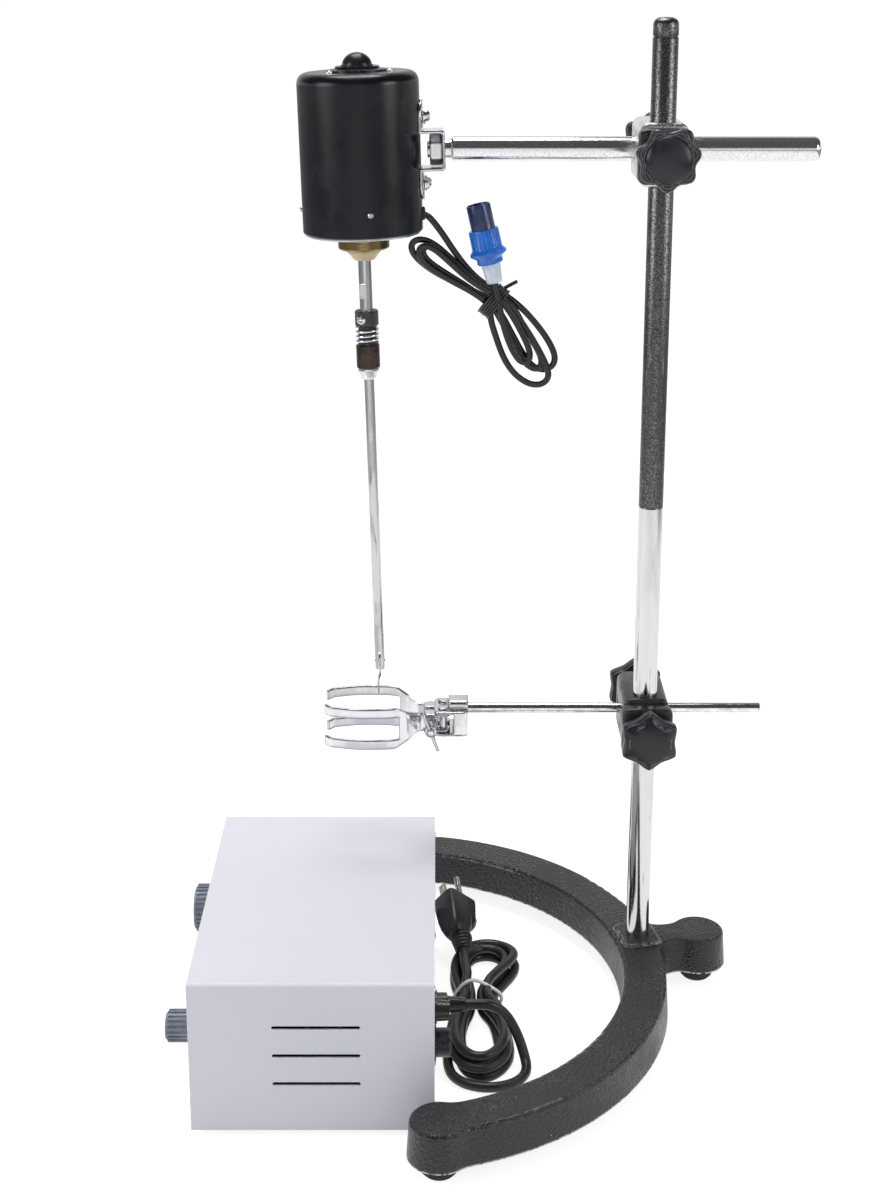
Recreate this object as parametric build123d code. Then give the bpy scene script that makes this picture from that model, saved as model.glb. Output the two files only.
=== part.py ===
from build123d import *
import math
import os

os.makedirs("parts", exist_ok=True)

# An overhead stirrer on a ring-footed stand, with a flask clamp and a separate speed controller.
# Millimetres, +Z up.  Everything is drawn about the upright's axis at floor level, with +X
# towards the tail of the base and +Y away from the operator; the last section moves the
# origin to the middle of the footprint.

# ---------------------------------------------------------------- driving dimensions
RUNNING_GAP = 0.05            # radial clearance of a part that turns or slides on another
SEAT_GAP = 0.3                # clearance between faces that only pass each other

# stand
FOOT_RADIUS = 12.5
FOOT_HEIGHT = 12.0
FOOT_STEM_RADIUS = 4.0
FOOT_STEM_LENGTH = 8.0
RAIL_WIDTH = 30.0             # width of the ring's rail, on top
RAIL_HEIGHT = 26.0
RAIL_DRAFT = 4.0              # degrees
RING_RADIUS = 186.5           # middle of the rail
RAIL_OUTSET = 3.5             # the upright stands this far outside the middle of the rail
BASE_TURN = 12.0              # degrees from +X to the tail
TOE_RADIUS = 19.0             # round pads over the feet
TAIL_LENGTH = 47.0            # upright to the middle of the tail pad
TAIL_NECK = 25.0
PAD_SIZE = 28.0               # raised pad round the upright
PAD_HEIGHT = 2.0
NECK_ROUND = 14.0
TOE_BLEND = 25.0
EDGE_ROUND = 2.5

# rods
ROD_RADIUS = 8.5              # upright and arm
SECTION_LENGTH = 331.0        # each of the two screwed sections of the upright
ROD_CHAMFER = 1.5
STUD_RADIUS = 5.0
STUD_LENGTH = 18.0
FOOT_NUT_FLATS = 17.0
FOOT_NUT_HEIGHT = 8.0
FOOT_WASHER_RADIUS = 11.0
FOOT_WASHER_HEIGHT = 2.0
ARM_HEIGHT = 614.0
ARM_LEFT = -139.0
ARM_RIGHT = 113.5
ROD_SPACING = 30.0            # upright's axis to the arm's axis
CLAMP_ROD_RADIUS = 3.75
CLAMP_HEIGHT = 210.0
CLAMP_ROD_LEFT = -139.0
CLAMP_ROD_RIGHT = 87.0

# boss heads
BOSS_WIDTH = 39.0
BOSS_HEIGHT = 52.0
BOSS_CORNER = 7.0
BOSS_WALL = 9.0               # bridge that carries each screw
BRIDGE_HEIGHT = 32.0
WINDOW_HALF = 10.5
WINDOW_FLAT = 1.5
WINDOW_SLACK = 3.0            # room between a rod and the bridge
COLLAR_RADIUS = 9.5
COLLAR_LENGTH = 2.5
SCREW_RADIUS = 4.0
KNOB_RADIUS = 21.5
KNOB_NOTCH_RADIUS = 5.5
KNOB_NOTCH_DEPTH = 5.0
KNOB_THICKNESS = 11.0
KNOB_DOME_RADIUS = 15.5
KNOB_DOME_HEIGHT = 5.0
KNOB_HUB_RADIUS = 10.5
KNOB_HUB_LENGTH = 4.0
KNOB_GAP = 2.0
KNOB_BORE_DEPTH = 10.0
UPPER_LOBES = 7
LOWER_LOBES = 6

# motor, drawn about its own axis with z = 0 at the arm
MOTOR_LEAN = 1.6              # degrees by which its weight pulls the arm's stud down
MOTOR_REACH = 61.4            # end of the arm to the motor's axis
CAN_RADIUS = 41.0
CAN_WALL = 1.5
CAN_TOP = 53.3
CAN_BOTTOM = -54.0
CAN_SHOULDER = 7.0
CAN_LIP_ROUND = 1.2
END_PLATE_THICKNESS = 3.0
END_PLATE_LIP = 1.6           # how far the plate shows below the can
COVER_RADIUS = 20.0
COVER_HEIGHT = 3.5
CAP_RADIUS = 10.2
CAP_HEIGHT = 9.0
BOSS_RING_RADIUS = 17.6
BOSS_RING_HEIGHT = 10.5
SEAL_RADIUS = 12.0
SEAL_TIP_RADIUS = 7.0
SEAL_HEIGHT = 7.5
SHAFT_RADIUS = 4.5
BEARING_RADIUS = 11.0
BEARING_WIDTH = 7.0
STATOR_HEIGHT = 50.0
STATOR_BORE = 22.5
ROTOR_RADIUS = 22.0
COMMUTATOR_RADIUS = 12.0
COMMUTATOR_HEIGHT = 14.0
GROMMET_Z = -43.0

# bracket and arm stud
PLATE = 2.0
CHANNEL_HEIGHT = 27.0
EAR_LENGTH = 20.0
BRACKET_WIDTH = 22.0
BRACKET_SCREW_OFFSET = 22.5
COVER_SCREW_RADIUS = 2.6
SIDE_SCREW_RADIUS = 2.0
NECK_RADIUS = 6.8
NECK_LENGTH = 4.0
ARM_STUD_RADIUS = 6.0
ARM_NUT_FLATS = 19.0
ARM_NUT_HEIGHT = 8.5

# chuck and stirring rod
COLLAR_TOP = -109.0
CHUCK_RADIUS = 8.2
CHUCK_COLLAR_HEIGHT = 10.5
CHUCK_CORE_RADIUS = 6.2
SPRING_LENGTH = 13.5
SPRING_TURNS = 4.5
SPRING_WIRE = 0.6
SLEEVE_LENGTH = 16.5
NOSE_RING_LENGTH = 1.8
NOSE_LENGTH = 6.0
NOSE_TIP_RADIUS = 4.8
STIR_ROD_RADIUS = 3.5
STIR_ROD_BOTTOM = -374.5
BLADE_PIN_RISE = 6.5
BLADE_PIN_RADIUS = 0.9
SLOT_WIDTH = 1.8
SLOT_HEIGHT = 14.0
BLADE_THICKNESS = 1.2
BLADE_WIDTH = 12.0
BLADE_TAB = 4.6
BLADE_BELOW = 17.8            # blade below the end of the rod
BLADE_TRAVEL_GAP = 0.4

# flask clamp
JAW_DROP = 7.5                # clamp rod's axis to the middle of the jaws
JAW_SHEET = 2.0
FINGER_PITCH = 24.0
FINGER_HEIGHT = 7.0
NECK_HALF_HEIGHT = 7.0
JAW_PIN_X = -144.0
JAW_PIN_SPACING = 14.0
JAW_PIN_RADIUS = 2.45
EAR_RADIUS = 5.0
WING_SCREW_X = -153.0
WING_SCREW_RADIUS = 2.5
WING_HOLE_GAP = 1.2           # the jaws tilt about the screw as they open
WING_RADIUS = 16.0
WING_WIDTH = 7.0
WING_ANGLE = -70.0
CLAMP_BODY_RIGHT = -126.0
CLAMP_BODY_LEFT = -150.5
CLAMP_BODY_WIDTH = 27.0
CLAMP_BLOCK_LENGTH = 13.0
CLAMP_BLOCK_RISE = 6.0

# control box
CASE_X = -229.0
CASE_Y = -69.5
CASE_WIDTH = 158.0
CASE_DEPTH = 236.0
CASE_TOP = 111.0
CASE_FLOOR = 5.0
CASE_SHEET = 1.2
CASE_CORNER = 2.5
CASE_FOOT_RADIUS = 7.0
CASE_FOOT_INSET = 22.0
CASE_STEM_RADIUS = 2.0
VENT_LENGTH = 57.0
VENT_HEIGHT = 2.6
VENT_PITCH = 20.4
VENT_X = 3.0
VENT_MIDDLE = 59.7
VENTS = 3
PANEL_INSET = 1.0
SPEED_KNOB = (CASE_Y + CASE_DEPTH / 2 - 43.5, 58.0)      # y and z on the panel
SPEED_KNOB_RADIUS = 18.0
TIMER_KNOB = (CASE_Y - CASE_DEPTH / 2 + 37.5, 58.0)
TIMER_KNOB_RADIUS = 11.3
CASE_KNOB_LENGTH = 19.0
CONTROL_SHAFT_RADIUS = 3.0
SWITCH = (-75.0, 58.0)
SWITCH_WIDTH = 19.0
SWITCH_HEIGHT = 13.0
SWITCH_DEPTH = 18.0
ROCKER_GAP = 1.6              # room for the key's corners as it rocks
ROCKER_PIVOT = 4.0
ROCKER_PIN_RADIUS = 1.3
SOCKET = (CASE_Y - CASE_DEPTH / 2 + 39.5, 44.0)
SOCKET_RADIUS = 9.5
SOCKET_LENGTH = 12.0
FUSE = (SOCKET[0], 68.0)
FUSE_RADIUS = 7.0
FUSE_LENGTH = 11.0
BOARD_WIDTH = 90.0
BOARD_DEPTH = 120.0
BOARD_THICKNESS = 1.6
BOARD_STANDOFF = 8.0
GLAND = (-104.0, 45.0)
GLAND_RADIUS = 8.0
GLAND_LENGTH = 9.0
RELIEF_LENGTH = 22.0

# cords
MAINS_RADIUS = 3.5
LEAD_RADIUS = 2.1

ARM_Y = ROD_SPACING
RING_X = -(RING_RADIUS + RAIL_OUTSET)
RAIL_TOP = FOOT_HEIGHT + RAIL_HEIGHT
PAD_TOP = RAIL_TOP + PAD_HEIGHT
UPRIGHT_TOP = PAD_TOP + 2 * SECTION_LENGTH
SEAM = PAD_TOP + SECTION_LENGTH
GROOVE_DEPTH = (ROD_RADIUS + RUNNING_GAP) * math.sqrt(2)
CLAMP_Y = ROD_SPACING - GROOVE_DEPTH + (CLAMP_ROD_RADIUS + RUNNING_GAP) * math.sqrt(2)
BOSS_FRONT = -(ROD_RADIUS + WINDOW_SLACK + BOSS_WALL)
BOSS_BACK = ROD_SPACING - BOSS_FRONT
MOTOR_FRAME = Pos(ARM_LEFT, ARM_Y, ARM_HEIGHT) * Rot(0, -MOTOR_LEAN, 0) * Pos(-MOTOR_REACH, 0, 0)
CASE_LEFT = CASE_X - CASE_WIDTH / 2
CASE_RIGHT = CASE_X + CASE_WIDTH / 2
CASE_FRONT = CASE_Y - CASE_DEPTH / 2


# ---------------------------------------------------------------- helpers
def bar(start, end, radius):
    """A round bar between two points."""
    a, b = Vector(*start), Vector(*end)
    return Solid.make_cylinder(radius, (b - a).length, Plane(origin=a, z_dir=b - a))


def block(x0, x1, y0, y1, z0, z1):
    """A plain block between two corners."""
    return Pos((x0 + x1) / 2, (y0 + y1) / 2, (z0 + z1) / 2) * Box(x1 - x0, y1 - y0, z1 - z0)


def turned(*profile):
    """A solid turned about Z from (radius, z) corners."""
    return revolve(make_face(Plane.XZ * Polyline(*profile, close=True)), Axis.Z)


def hex_nut(flats, height, bore):
    """A nut standing on XY."""
    nut = extrude(RegularPolygon(flats / 2, 6, major_radius=False), height)
    crown = turned((0, 0), (flats / 2 + 0.4, 0), (flats * 0.58, height * 0.14),
                   (flats * 0.58, height * 0.86), (flats / 2 + 0.4, height), (0, height))
    return (nut & crown) - Cylinder(bore, 3 * height)


def pan_screw(radius, head, length):
    """A pan-headed cross screw: head above z = 0, shank below."""
    dome = turned((0, 0), (radius, 0), (radius, head * 0.45), (radius * 0.62, head), (0, head))
    cross = Pos(0, 0, head) * (Box(radius * 1.1, radius * 0.24, head) + Box(radius * 0.24, radius * 1.1, head))
    return dome - cross + bar((0, 0, -length), (0, 0, 0.01), radius * 0.5)


def facing(direction, at):
    """A location whose +Z looks along a direction."""
    return Location(Plane(origin=at, z_dir=direction))


# ---------------------------------------------------------------- stand
def toe_points():
    """Centres of the three foot pads in the base's own frame, ring centre at the origin."""
    tail = RING_RADIUS + RAIL_OUTSET + TAIL_LENGTH
    return [(0, -RING_RADIUS), (0, RING_RADIUS), (tail, 0)]


BASE_FRAME = Rot(0, 0, BASE_TURN) * Pos(RING_X, 0, 0)


def base_outline():
    """Plan of the casting: half a ring, two round toes and a waisted tail."""
    half = RAIL_WIDTH / 2
    ring = Circle(RING_RADIUS + half) - Circle(RING_RADIUS - half)
    ring &= Pos(RING_RADIUS, 0) * Rectangle(2 * RING_RADIUS, 4 * RING_RADIUS)
    upright = RING_RADIUS + RAIL_OUTSET
    tail_end = upright + TAIL_LENGTH
    tail = Pos((upright + tail_end) / 2, 0) * Rectangle(TAIL_LENGTH, TAIL_NECK)
    plan = ring + tail
    for x, y in toe_points():
        plan += Pos(x, y) * Circle(TOE_RADIUS)
    necks = [v for v in plan.vertices() if v.X > RING_RADIUS + 5]
    plan = fillet(necks, NECK_ROUND)
    shoulders = [v for v in plan.vertices() if v.X < TOE_RADIUS and abs(v.Y) > RING_RADIUS - RAIL_WIDTH]
    return fillet(shoulders, TOE_BLEND)


def base_casting():
    """Cast ring with drafted walls, raised pad, foot sockets and a counterbored upright hole."""
    body = Pos(0, 0, FOOT_HEIGHT) * extrude(base_outline(), RAIL_HEIGHT)
    walls = [face for face in body.faces() if abs(face.normal_at().Z) < 0.1]
    body = draft(walls, Plane.XY.offset(RAIL_TOP), RAIL_DRAFT)
    body = fillet(body.faces().sort_by(Axis.Z)[-1].edges(), EDGE_ROUND)
    pad = RectangleRounded(PAD_SIZE, PAD_SIZE + 4, 5)
    raised = Pos(RING_RADIUS + RAIL_OUTSET, 0, RAIL_TOP - 1) * extrude(pad, PAD_HEIGHT + 1)
    raised = fillet(raised.faces().sort_by(Axis.Z)[-1].edges(), 1.0)
    body += raised
    centre = (RING_RADIUS + RAIL_OUTSET, 0)
    through = STUD_RADIUS + SEAT_GAP
    body -= bar((*centre, 0), (*centre, PAD_TOP + 1), through)
    recess = FOOT_HEIGHT + FOOT_NUT_HEIGHT + FOOT_WASHER_HEIGHT + 2
    body -= bar((*centre, 0), (*centre, recess), FOOT_WASHER_RADIUS + 1.5)
    for x, y in toe_points():
        body -= bar((x, y, 0), (x, y, FOOT_HEIGHT + FOOT_STEM_LENGTH + 1), FOOT_STEM_RADIUS)
    return BASE_FRAME * body


def rubber_feet():
    """Three pushed-in feet."""
    foot = turned((0, 0), (FOOT_RADIUS - 2.5, 0), (FOOT_RADIUS - 0.6, 2.2), (FOOT_RADIUS, FOOT_HEIGHT),
                  (FOOT_STEM_RADIUS, FOOT_HEIGHT), (FOOT_STEM_RADIUS, FOOT_HEIGHT + FOOT_STEM_LENGTH),
                  (0, FOOT_HEIGHT + FOOT_STEM_LENGTH))
    return Compound(children=[BASE_FRAME * Pos(x, y, 0) * foot for x, y in toe_points()])


def lower_upright():
    """Lower section: spigot for the base, tapped top end."""
    spigot_bottom = FOOT_HEIGHT + 2
    rod = turned((0, spigot_bottom), (STUD_RADIUS, spigot_bottom), (STUD_RADIUS, PAD_TOP),
                 (ROD_RADIUS, PAD_TOP), (ROD_RADIUS, SEAM - 0.4), (ROD_RADIUS - 0.4, SEAM), (0, SEAM))
    return rod - bar((0, 0, SEAM - STUD_LENGTH - 3), (0, 0, SEAM + 1), STUD_RADIUS)


def upper_upright():
    """Upper section: stud below, chamfered end with a turned line above."""
    line = UPRIGHT_TOP - 10
    return turned((0, SEAM - STUD_LENGTH), (STUD_RADIUS, SEAM - STUD_LENGTH), (STUD_RADIUS, SEAM),
                  (ROD_RADIUS - 0.4, SEAM), (ROD_RADIUS, SEAM + 0.4), (ROD_RADIUS, line - 0.6),
                  (ROD_RADIUS - 0.5, line), (ROD_RADIUS, line + 0.6),
                  (ROD_RADIUS, UPRIGHT_TOP - ROD_CHAMFER), (ROD_RADIUS - ROD_CHAMFER, UPRIGHT_TOP),
                  (0, UPRIGHT_TOP))


def foot_nut():
    """Nut and washer in the base's counterbore."""
    seat = FOOT_HEIGHT + FOOT_NUT_HEIGHT + FOOT_WASHER_HEIGHT + 2
    washer = bar((0, 0, seat - FOOT_WASHER_HEIGHT), (0, 0, seat), FOOT_WASHER_RADIUS)
    washer -= bar((0, 0, 0), (0, 0, seat + 1), STUD_RADIUS + SEAT_GAP)
    nut = Pos(0, 0, seat - FOOT_WASHER_HEIGHT - FOOT_NUT_HEIGHT) * hex_nut(FOOT_NUT_FLATS, FOOT_NUT_HEIGHT,
                                                                           STUD_RADIUS)
    return Compound(children=[nut, washer])


# ---------------------------------------------------------------- boss heads
def groove():
    """Plan of a rod window: a vee that the rod is pressed into, and a square mouth at -Y."""
    flat_y = GROOVE_DEPTH - WINDOW_FLAT
    side_y = GROOVE_DEPTH - WINDOW_HALF
    mouth = -(ROD_RADIUS + WINDOW_SLACK)
    outline = Polyline((-WINDOW_HALF, mouth), (WINDOW_HALF, mouth), (WINDOW_HALF, side_y),
                       (WINDOW_FLAT, flat_y), (-WINDOW_FLAT, flat_y), (-WINDOW_HALF, side_y), close=True)
    window = make_face(outline)
    corners = window.vertices().sort_by(Axis.Y)[0:2]
    return fillet(corners, 3.0)


def boss_casting(height):
    """Two crossed rod windows back to back, with a bridge and a screw collar over each."""
    outline = RectangleRounded(BOSS_WIDTH, BOSS_HEIGHT, BOSS_CORNER)
    front_wall = BOSS_FRONT + BOSS_WALL * 0.5
    back_wall = BOSS_BACK - BOSS_WALL * 0.5
    body = Pos(0, back_wall, 0) * extrude(Plane.XZ * outline, back_wall - front_wall)
    body = fillet(body.faces().filter_by(Axis.Y).edges(), 2.5)
    front = Pos(0, 0, 0) * extrude(Plane.XZ * RectangleRounded(BOSS_WIDTH - 4, BRIDGE_HEIGHT, 5), -BOSS_FRONT)
    front = fillet(front.faces().sort_by(Axis.Y)[0].edges(), 2.5)
    back = Pos(0, BOSS_BACK, 0) * extrude(Plane.XZ * RectangleRounded(BRIDGE_HEIGHT, BOSS_WIDTH - 4, 5),
                                          BOSS_BACK - ROD_SPACING)
    back = fillet(back.faces().sort_by(Axis.Y)[-1].edges(), 2.5)
    body = body + front + back
    body += bar((0, BOSS_FRONT - COLLAR_LENGTH, 0), (0, BOSS_FRONT + 3, 0), COLLAR_RADIUS)
    body += bar((0, BOSS_BACK - 3, 0), (0, BOSS_BACK + COLLAR_LENGTH, 0), COLLAR_RADIUS)
    window = extrude(groove(), BOSS_HEIGHT, both=True)
    body -= window
    body -= Pos(0, ROD_SPACING, 0) * Rot(180, 0, 0) * Rot(0, 90, 0) * window
    hole = SCREW_RADIUS + RUNNING_GAP
    body -= bar((0, BOSS_FRONT - 10, 0), (0, 0, 0), hole)
    body -= bar((0, ROD_SPACING, 0), (0, BOSS_BACK + 10, 0), hole)
    return Pos(0, 0, height) * body


def star_knob(lobes):
    """Moulded star grip: lobed rim, domed face and a short hub; axis +Z, hub face at z = 0."""
    rim = Circle(KNOB_RADIUS)
    for i in range(lobes):
        turn = Rot(0, 0, 90 + 360 * (i + 0.5) / lobes)
        rim -= turn * Pos(KNOB_RADIUS + KNOB_NOTCH_RADIUS - KNOB_NOTCH_DEPTH, 0) * Circle(KNOB_NOTCH_RADIUS)
    rim = fillet(rim.vertices(), 3.0)
    grip = Pos(0, 0, KNOB_HUB_LENGTH) * extrude(rim, KNOB_THICKNESS)
    grip = fillet(grip.faces().sort_by(Axis.Z)[-1].edges(), 2.2)
    face = KNOB_HUB_LENGTH + KNOB_THICKNESS
    ball = (KNOB_DOME_RADIUS ** 2 + KNOB_DOME_HEIGHT ** 2) / (2 * KNOB_DOME_HEIGHT)
    dome = Pos(0, 0, face + KNOB_DOME_HEIGHT - ball) * Sphere(ball)
    dome &= Pos(0, 0, face + KNOB_DOME_HEIGHT / 2) * Box(3 * KNOB_RADIUS, 3 * KNOB_RADIUS, KNOB_DOME_HEIGHT)
    hub = Pos(0, 0, KNOB_HUB_LENGTH / 2) * Cylinder(KNOB_HUB_RADIUS, KNOB_HUB_LENGTH)
    return grip + dome + hub - bar((0, 0, -1), (0, 0, KNOB_BORE_DEPTH), SCREW_RADIUS)


def knob_place(height, front):
    """Where a star knob's hub face sits, looking outwards from the boss head."""
    if front:
        return facing((0, -1, 0), (0, BOSS_FRONT - COLLAR_LENGTH - KNOB_GAP, height))
    return facing((0, 1, 0), (0, BOSS_BACK + COLLAR_LENGTH + KNOB_GAP, height))


def clamp_screw(height, front, tip_y):
    """Screw moulded into a star knob; it ends a running gap short of its rod."""
    face = BOSS_FRONT - COLLAR_LENGTH - KNOB_GAP if front else BOSS_BACK + COLLAR_LENGTH + KNOB_GAP
    inner = face + (-KNOB_BORE_DEPTH if front else KNOB_BORE_DEPTH)
    return bar((0, inner, height), (0, tip_y, height), SCREW_RADIUS)


# ---------------------------------------------------------------- arm and bracket
def arm_rod():
    """Horizontal arm with a chamfered end, a neck and the stud that carries the bracket."""
    rod = bar((ARM_LEFT, 0, 0), (ARM_RIGHT, 0, 0), ROD_RADIUS)
    rod = chamfer(rod.edges().filter_by(GeomType.CIRCLE), ROD_CHAMFER)
    neck_left = MOTOR_REACH - NECK_LENGTH
    stud_left = neck_left - PLATE - ARM_NUT_HEIGHT - 1.5
    stud = bar((neck_left, 0, 0), (MOTOR_REACH + 3, 0, 0), NECK_RADIUS)
    stud += bar((stud_left, 0, 0), (neck_left + 1, 0, 0), ARM_STUD_RADIUS)
    return Pos(0, ARM_Y, ARM_HEIGHT) * rod + MOTOR_FRAME * stud


def bracket():
    """Plated hat-section bracket: a channel between two ears wrapped round the can."""
    half = CHANNEL_HEIGHT / 2
    outer = MOTOR_REACH - NECK_LENGTH
    skin = CAN_RADIUS + PLATE
    section = Polyline((CAN_RADIUS - 1, half - PLATE), (outer - PLATE, half - PLATE),
                       (outer - PLATE, -half + PLATE), (CAN_RADIUS - 1, -half + PLATE),
                       (CAN_RADIUS - 1, -half), (outer, -half), (outer, half), (CAN_RADIUS - 1, half),
                       close=True)
    hat = extrude(Plane.XZ * make_face(section), BRACKET_WIDTH / 2, both=True)
    hat = fillet(hat.edges().filter_by(Axis.Y).filter_by_position(Axis.X, outer - 0.1, outer + 0.1), 2.5)
    inside = CAN_RADIUS - 1
    wrap = turned((inside, -half - EAR_LENGTH), (skin, -half - EAR_LENGTH), (skin, -half + PLATE),
                  (inside, -half + PLATE))
    wrap += turned((inside, half - PLATE), (skin, half - PLATE), (skin, half + EAR_LENGTH),
                   (inside, half + EAR_LENGTH))
    side = Plane.YZ * RectangleRounded(BRACKET_WIDTH, CHANNEL_HEIGHT + 2 * EAR_LENGTH, BRACKET_WIDTH / 2 - 0.5)
    ears = wrap & extrude(side, 2 * CAN_RADIUS)
    reach = half + EAR_LENGTH + 1
    piece = hat + ears - bar((0, 0, -reach), (0, 0, reach), CAN_RADIUS)
    piece -= bar((CAN_RADIUS + 4, 0, 0), (outer + 5, 0, 0), ARM_STUD_RADIUS + SEAT_GAP)
    for z in (-BRACKET_SCREW_OFFSET, BRACKET_SCREW_OFFSET):
        piece -= bar((CAN_RADIUS - 5, 0, z), (CAN_RADIUS + 9, 0, z), 2.2)
    return MOTOR_FRAME * piece


def bracket_nut():
    """Hexagon nut inside the channel."""
    seat = MOTOR_REACH - NECK_LENGTH - PLATE
    nut = facing((-1, 0, 0), (seat, 0, 0)) * hex_nut(ARM_NUT_FLATS, ARM_NUT_HEIGHT, ARM_STUD_RADIUS)
    return MOTOR_FRAME * nut


def cover_screw_places():
    """Three places round the top cover, looking up."""
    return [Rot(0, 0, angle) * Pos(COVER_RADIUS + 3.4, 0, CAN_TOP) for angle in (100, 220, 340)]


def side_screw_places():
    """Three places round the foot of the can, looking outwards."""
    return [Rot(0, 0, angle) * facing((1, 0, 0), (CAN_RADIUS, 0, CAN_BOTTOM + 16)) for angle in (100, 180, 280)]


def motor_screws():
    """Cross-headed screws: two with washers through the bracket, and the small ones in the can."""
    screws = []
    head = 1.4
    for z in (-BRACKET_SCREW_OFFSET, BRACKET_SCREW_OFFSET):
        place = facing((1, 0, 0), (CAN_RADIUS + PLATE + head, 0, z))
        washer = bar((0, 0, 0.2 - head), (0, 0, 0.2), 5.4)
        screws.append(MOTOR_FRAME * place * (pan_screw(4.2, 3.2, head + PLATE + CAN_WALL) + washer))
    for spot in cover_screw_places():
        screws.append(MOTOR_FRAME * spot * pan_screw(COVER_SCREW_RADIUS, 1.8, CAN_WALL))
    for spot in side_screw_places():
        screws.append(MOTOR_FRAME * spot * pan_screw(SIDE_SCREW_RADIUS, 1.6, CAN_WALL))
    return Compound(children=screws)


# ---------------------------------------------------------------- motor
def motor_can():
    """Deep-drawn steel can with a rounded shoulder."""
    outer = Pos(0, 0, (CAN_TOP + CAN_BOTTOM) / 2) * Cylinder(CAN_RADIUS, CAN_TOP - CAN_BOTTOM)
    outer = fillet(outer.edges().sort_by(Axis.Z)[-1], CAN_SHOULDER)
    outer = fillet(outer.edges().sort_by(Axis.Z)[0], CAN_LIP_ROUND)
    inner_top = CAN_TOP - CAN_WALL
    inner = Pos(0, 0, (inner_top + CAN_BOTTOM) / 2) * Cylinder(CAN_RADIUS - CAN_WALL, inner_top - CAN_BOTTOM)
    inner = fillet(inner.edges().sort_by(Axis.Z)[-1], CAN_SHOULDER - CAN_WALL)
    can = outer - inner
    can -= bar((0, 0, CAN_TOP - 5), (0, 0, CAN_TOP + 1), BEARING_RADIUS - 2)
    for z in (-BRACKET_SCREW_OFFSET, BRACKET_SCREW_OFFSET):
        can -= bar((CAN_RADIUS - 5, 0, z), (CAN_RADIUS + 5, 0, z), 2.1)
    can -= bar((CAN_RADIUS - 5, 0, GROMMET_Z), (CAN_RADIUS + 5, 0, GROMMET_Z), LEAD_RADIUS + 0.9)
    for spot in cover_screw_places():
        can -= spot * Cylinder(COVER_SCREW_RADIUS / 2 + SEAT_GAP, 10)
    for spot in side_screw_places():
        can -= spot * Cylinder(SIDE_SCREW_RADIUS / 2 + SEAT_GAP, 10)
    return MOTOR_FRAME * can


def end_plate():
    """Bottom plate, with its bare edge just below the can."""
    low = CAN_BOTTOM - END_PLATE_LIP
    plate = turned((0, low), (CAN_RADIUS - 2.2, low), (CAN_RADIUS - 1.2, low + 1.0),
                   (CAN_RADIUS - 1.2, CAN_BOTTOM), (CAN_RADIUS - CAN_WALL, CAN_BOTTOM),
                   (CAN_RADIUS - CAN_WALL, low + END_PLATE_THICKNESS), (0, low + END_PLATE_THICKNESS))
    return MOTOR_FRAME * (plate - bar((0, 0, low - 1), (0, 0, CAN_BOTTOM + 5), SHAFT_RADIUS + 1.5))


def top_cover():
    """Stepped disc over the upper bearing, with the bearing's cup below it."""
    cup_bottom = CAN_TOP - CAN_WALL - BEARING_WIDTH
    disc = turned((0, CAN_TOP), (COVER_RADIUS, CAN_TOP), (COVER_RADIUS, CAN_TOP + 1.4),
                  (COVER_RADIUS - 4.5, CAN_TOP + 1.9), (COVER_RADIUS - 5.5, CAN_TOP + COVER_HEIGHT),
                  (0, CAN_TOP + COVER_HEIGHT))
    cup = turned((0, CAN_TOP - CAN_WALL), (BEARING_RADIUS + 2, CAN_TOP - CAN_WALL),
                 (BEARING_RADIUS + 2, cup_bottom), (BEARING_RADIUS, cup_bottom),
                 (BEARING_RADIUS, CAN_TOP - CAN_WALL - 0.5), (0, CAN_TOP - CAN_WALL - 0.5))
    plug = bar((0, 0, CAN_TOP - CAN_WALL - 0.5), (0, 0, CAN_TOP + 1), BEARING_RADIUS - 2)
    return MOTOR_FRAME * (disc + cup + plug)


def dome_cap():
    """Black domed cap on top of the cover."""
    base = CAN_TOP + COVER_HEIGHT
    dome = Pos(0, 0, base) * scale(Sphere(CAP_RADIUS), (1, 1, CAP_HEIGHT / CAP_RADIUS))
    dome &= Pos(0, 0, base + CAP_RADIUS) * Box(3 * CAP_RADIUS, 3 * CAP_RADIUS, 2 * CAP_RADIUS)
    rim = bar((0, 0, base), (0, 0, base + 0.8), CAP_RADIUS + 0.8)
    return MOTOR_FRAME * (dome + rim)


def motor_bearings():
    """Two ball bearings, drawn as closed rings."""
    rings = []
    for bottom in (CAN_TOP - CAN_WALL - BEARING_WIDTH, CAN_BOTTOM - END_PLATE_LIP - BEARING_WIDTH):
        ring = turned((SHAFT_RADIUS + RUNNING_GAP, bottom), (BEARING_RADIUS, bottom),
                      (BEARING_RADIUS, bottom + BEARING_WIDTH - 0.6),
                      (SHAFT_RADIUS + RUNNING_GAP, bottom + BEARING_WIDTH - 0.6))
        rings.append(MOTOR_FRAME * ring)
    return Compound(children=rings)


def stator():
    """Laminated field stack with its two coils as one closed ring."""
    radius = CAN_RADIUS - CAN_WALL
    ring = turned((STATOR_BORE, -STATOR_HEIGHT / 2), (radius, -STATOR_HEIGHT / 2),
                  (radius, STATOR_HEIGHT / 2), (STATOR_BORE, STATOR_HEIGHT / 2))
    coil = turned((STATOR_BORE + 2, -STATOR_HEIGHT / 2 - 7), (radius - 4, -STATOR_HEIGHT / 2 - 7),
                  (radius - 4, STATOR_HEIGHT / 2 + 7), (STATOR_BORE + 2, STATOR_HEIGHT / 2 + 7))
    return MOTOR_FRAME * (ring + coil)


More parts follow.
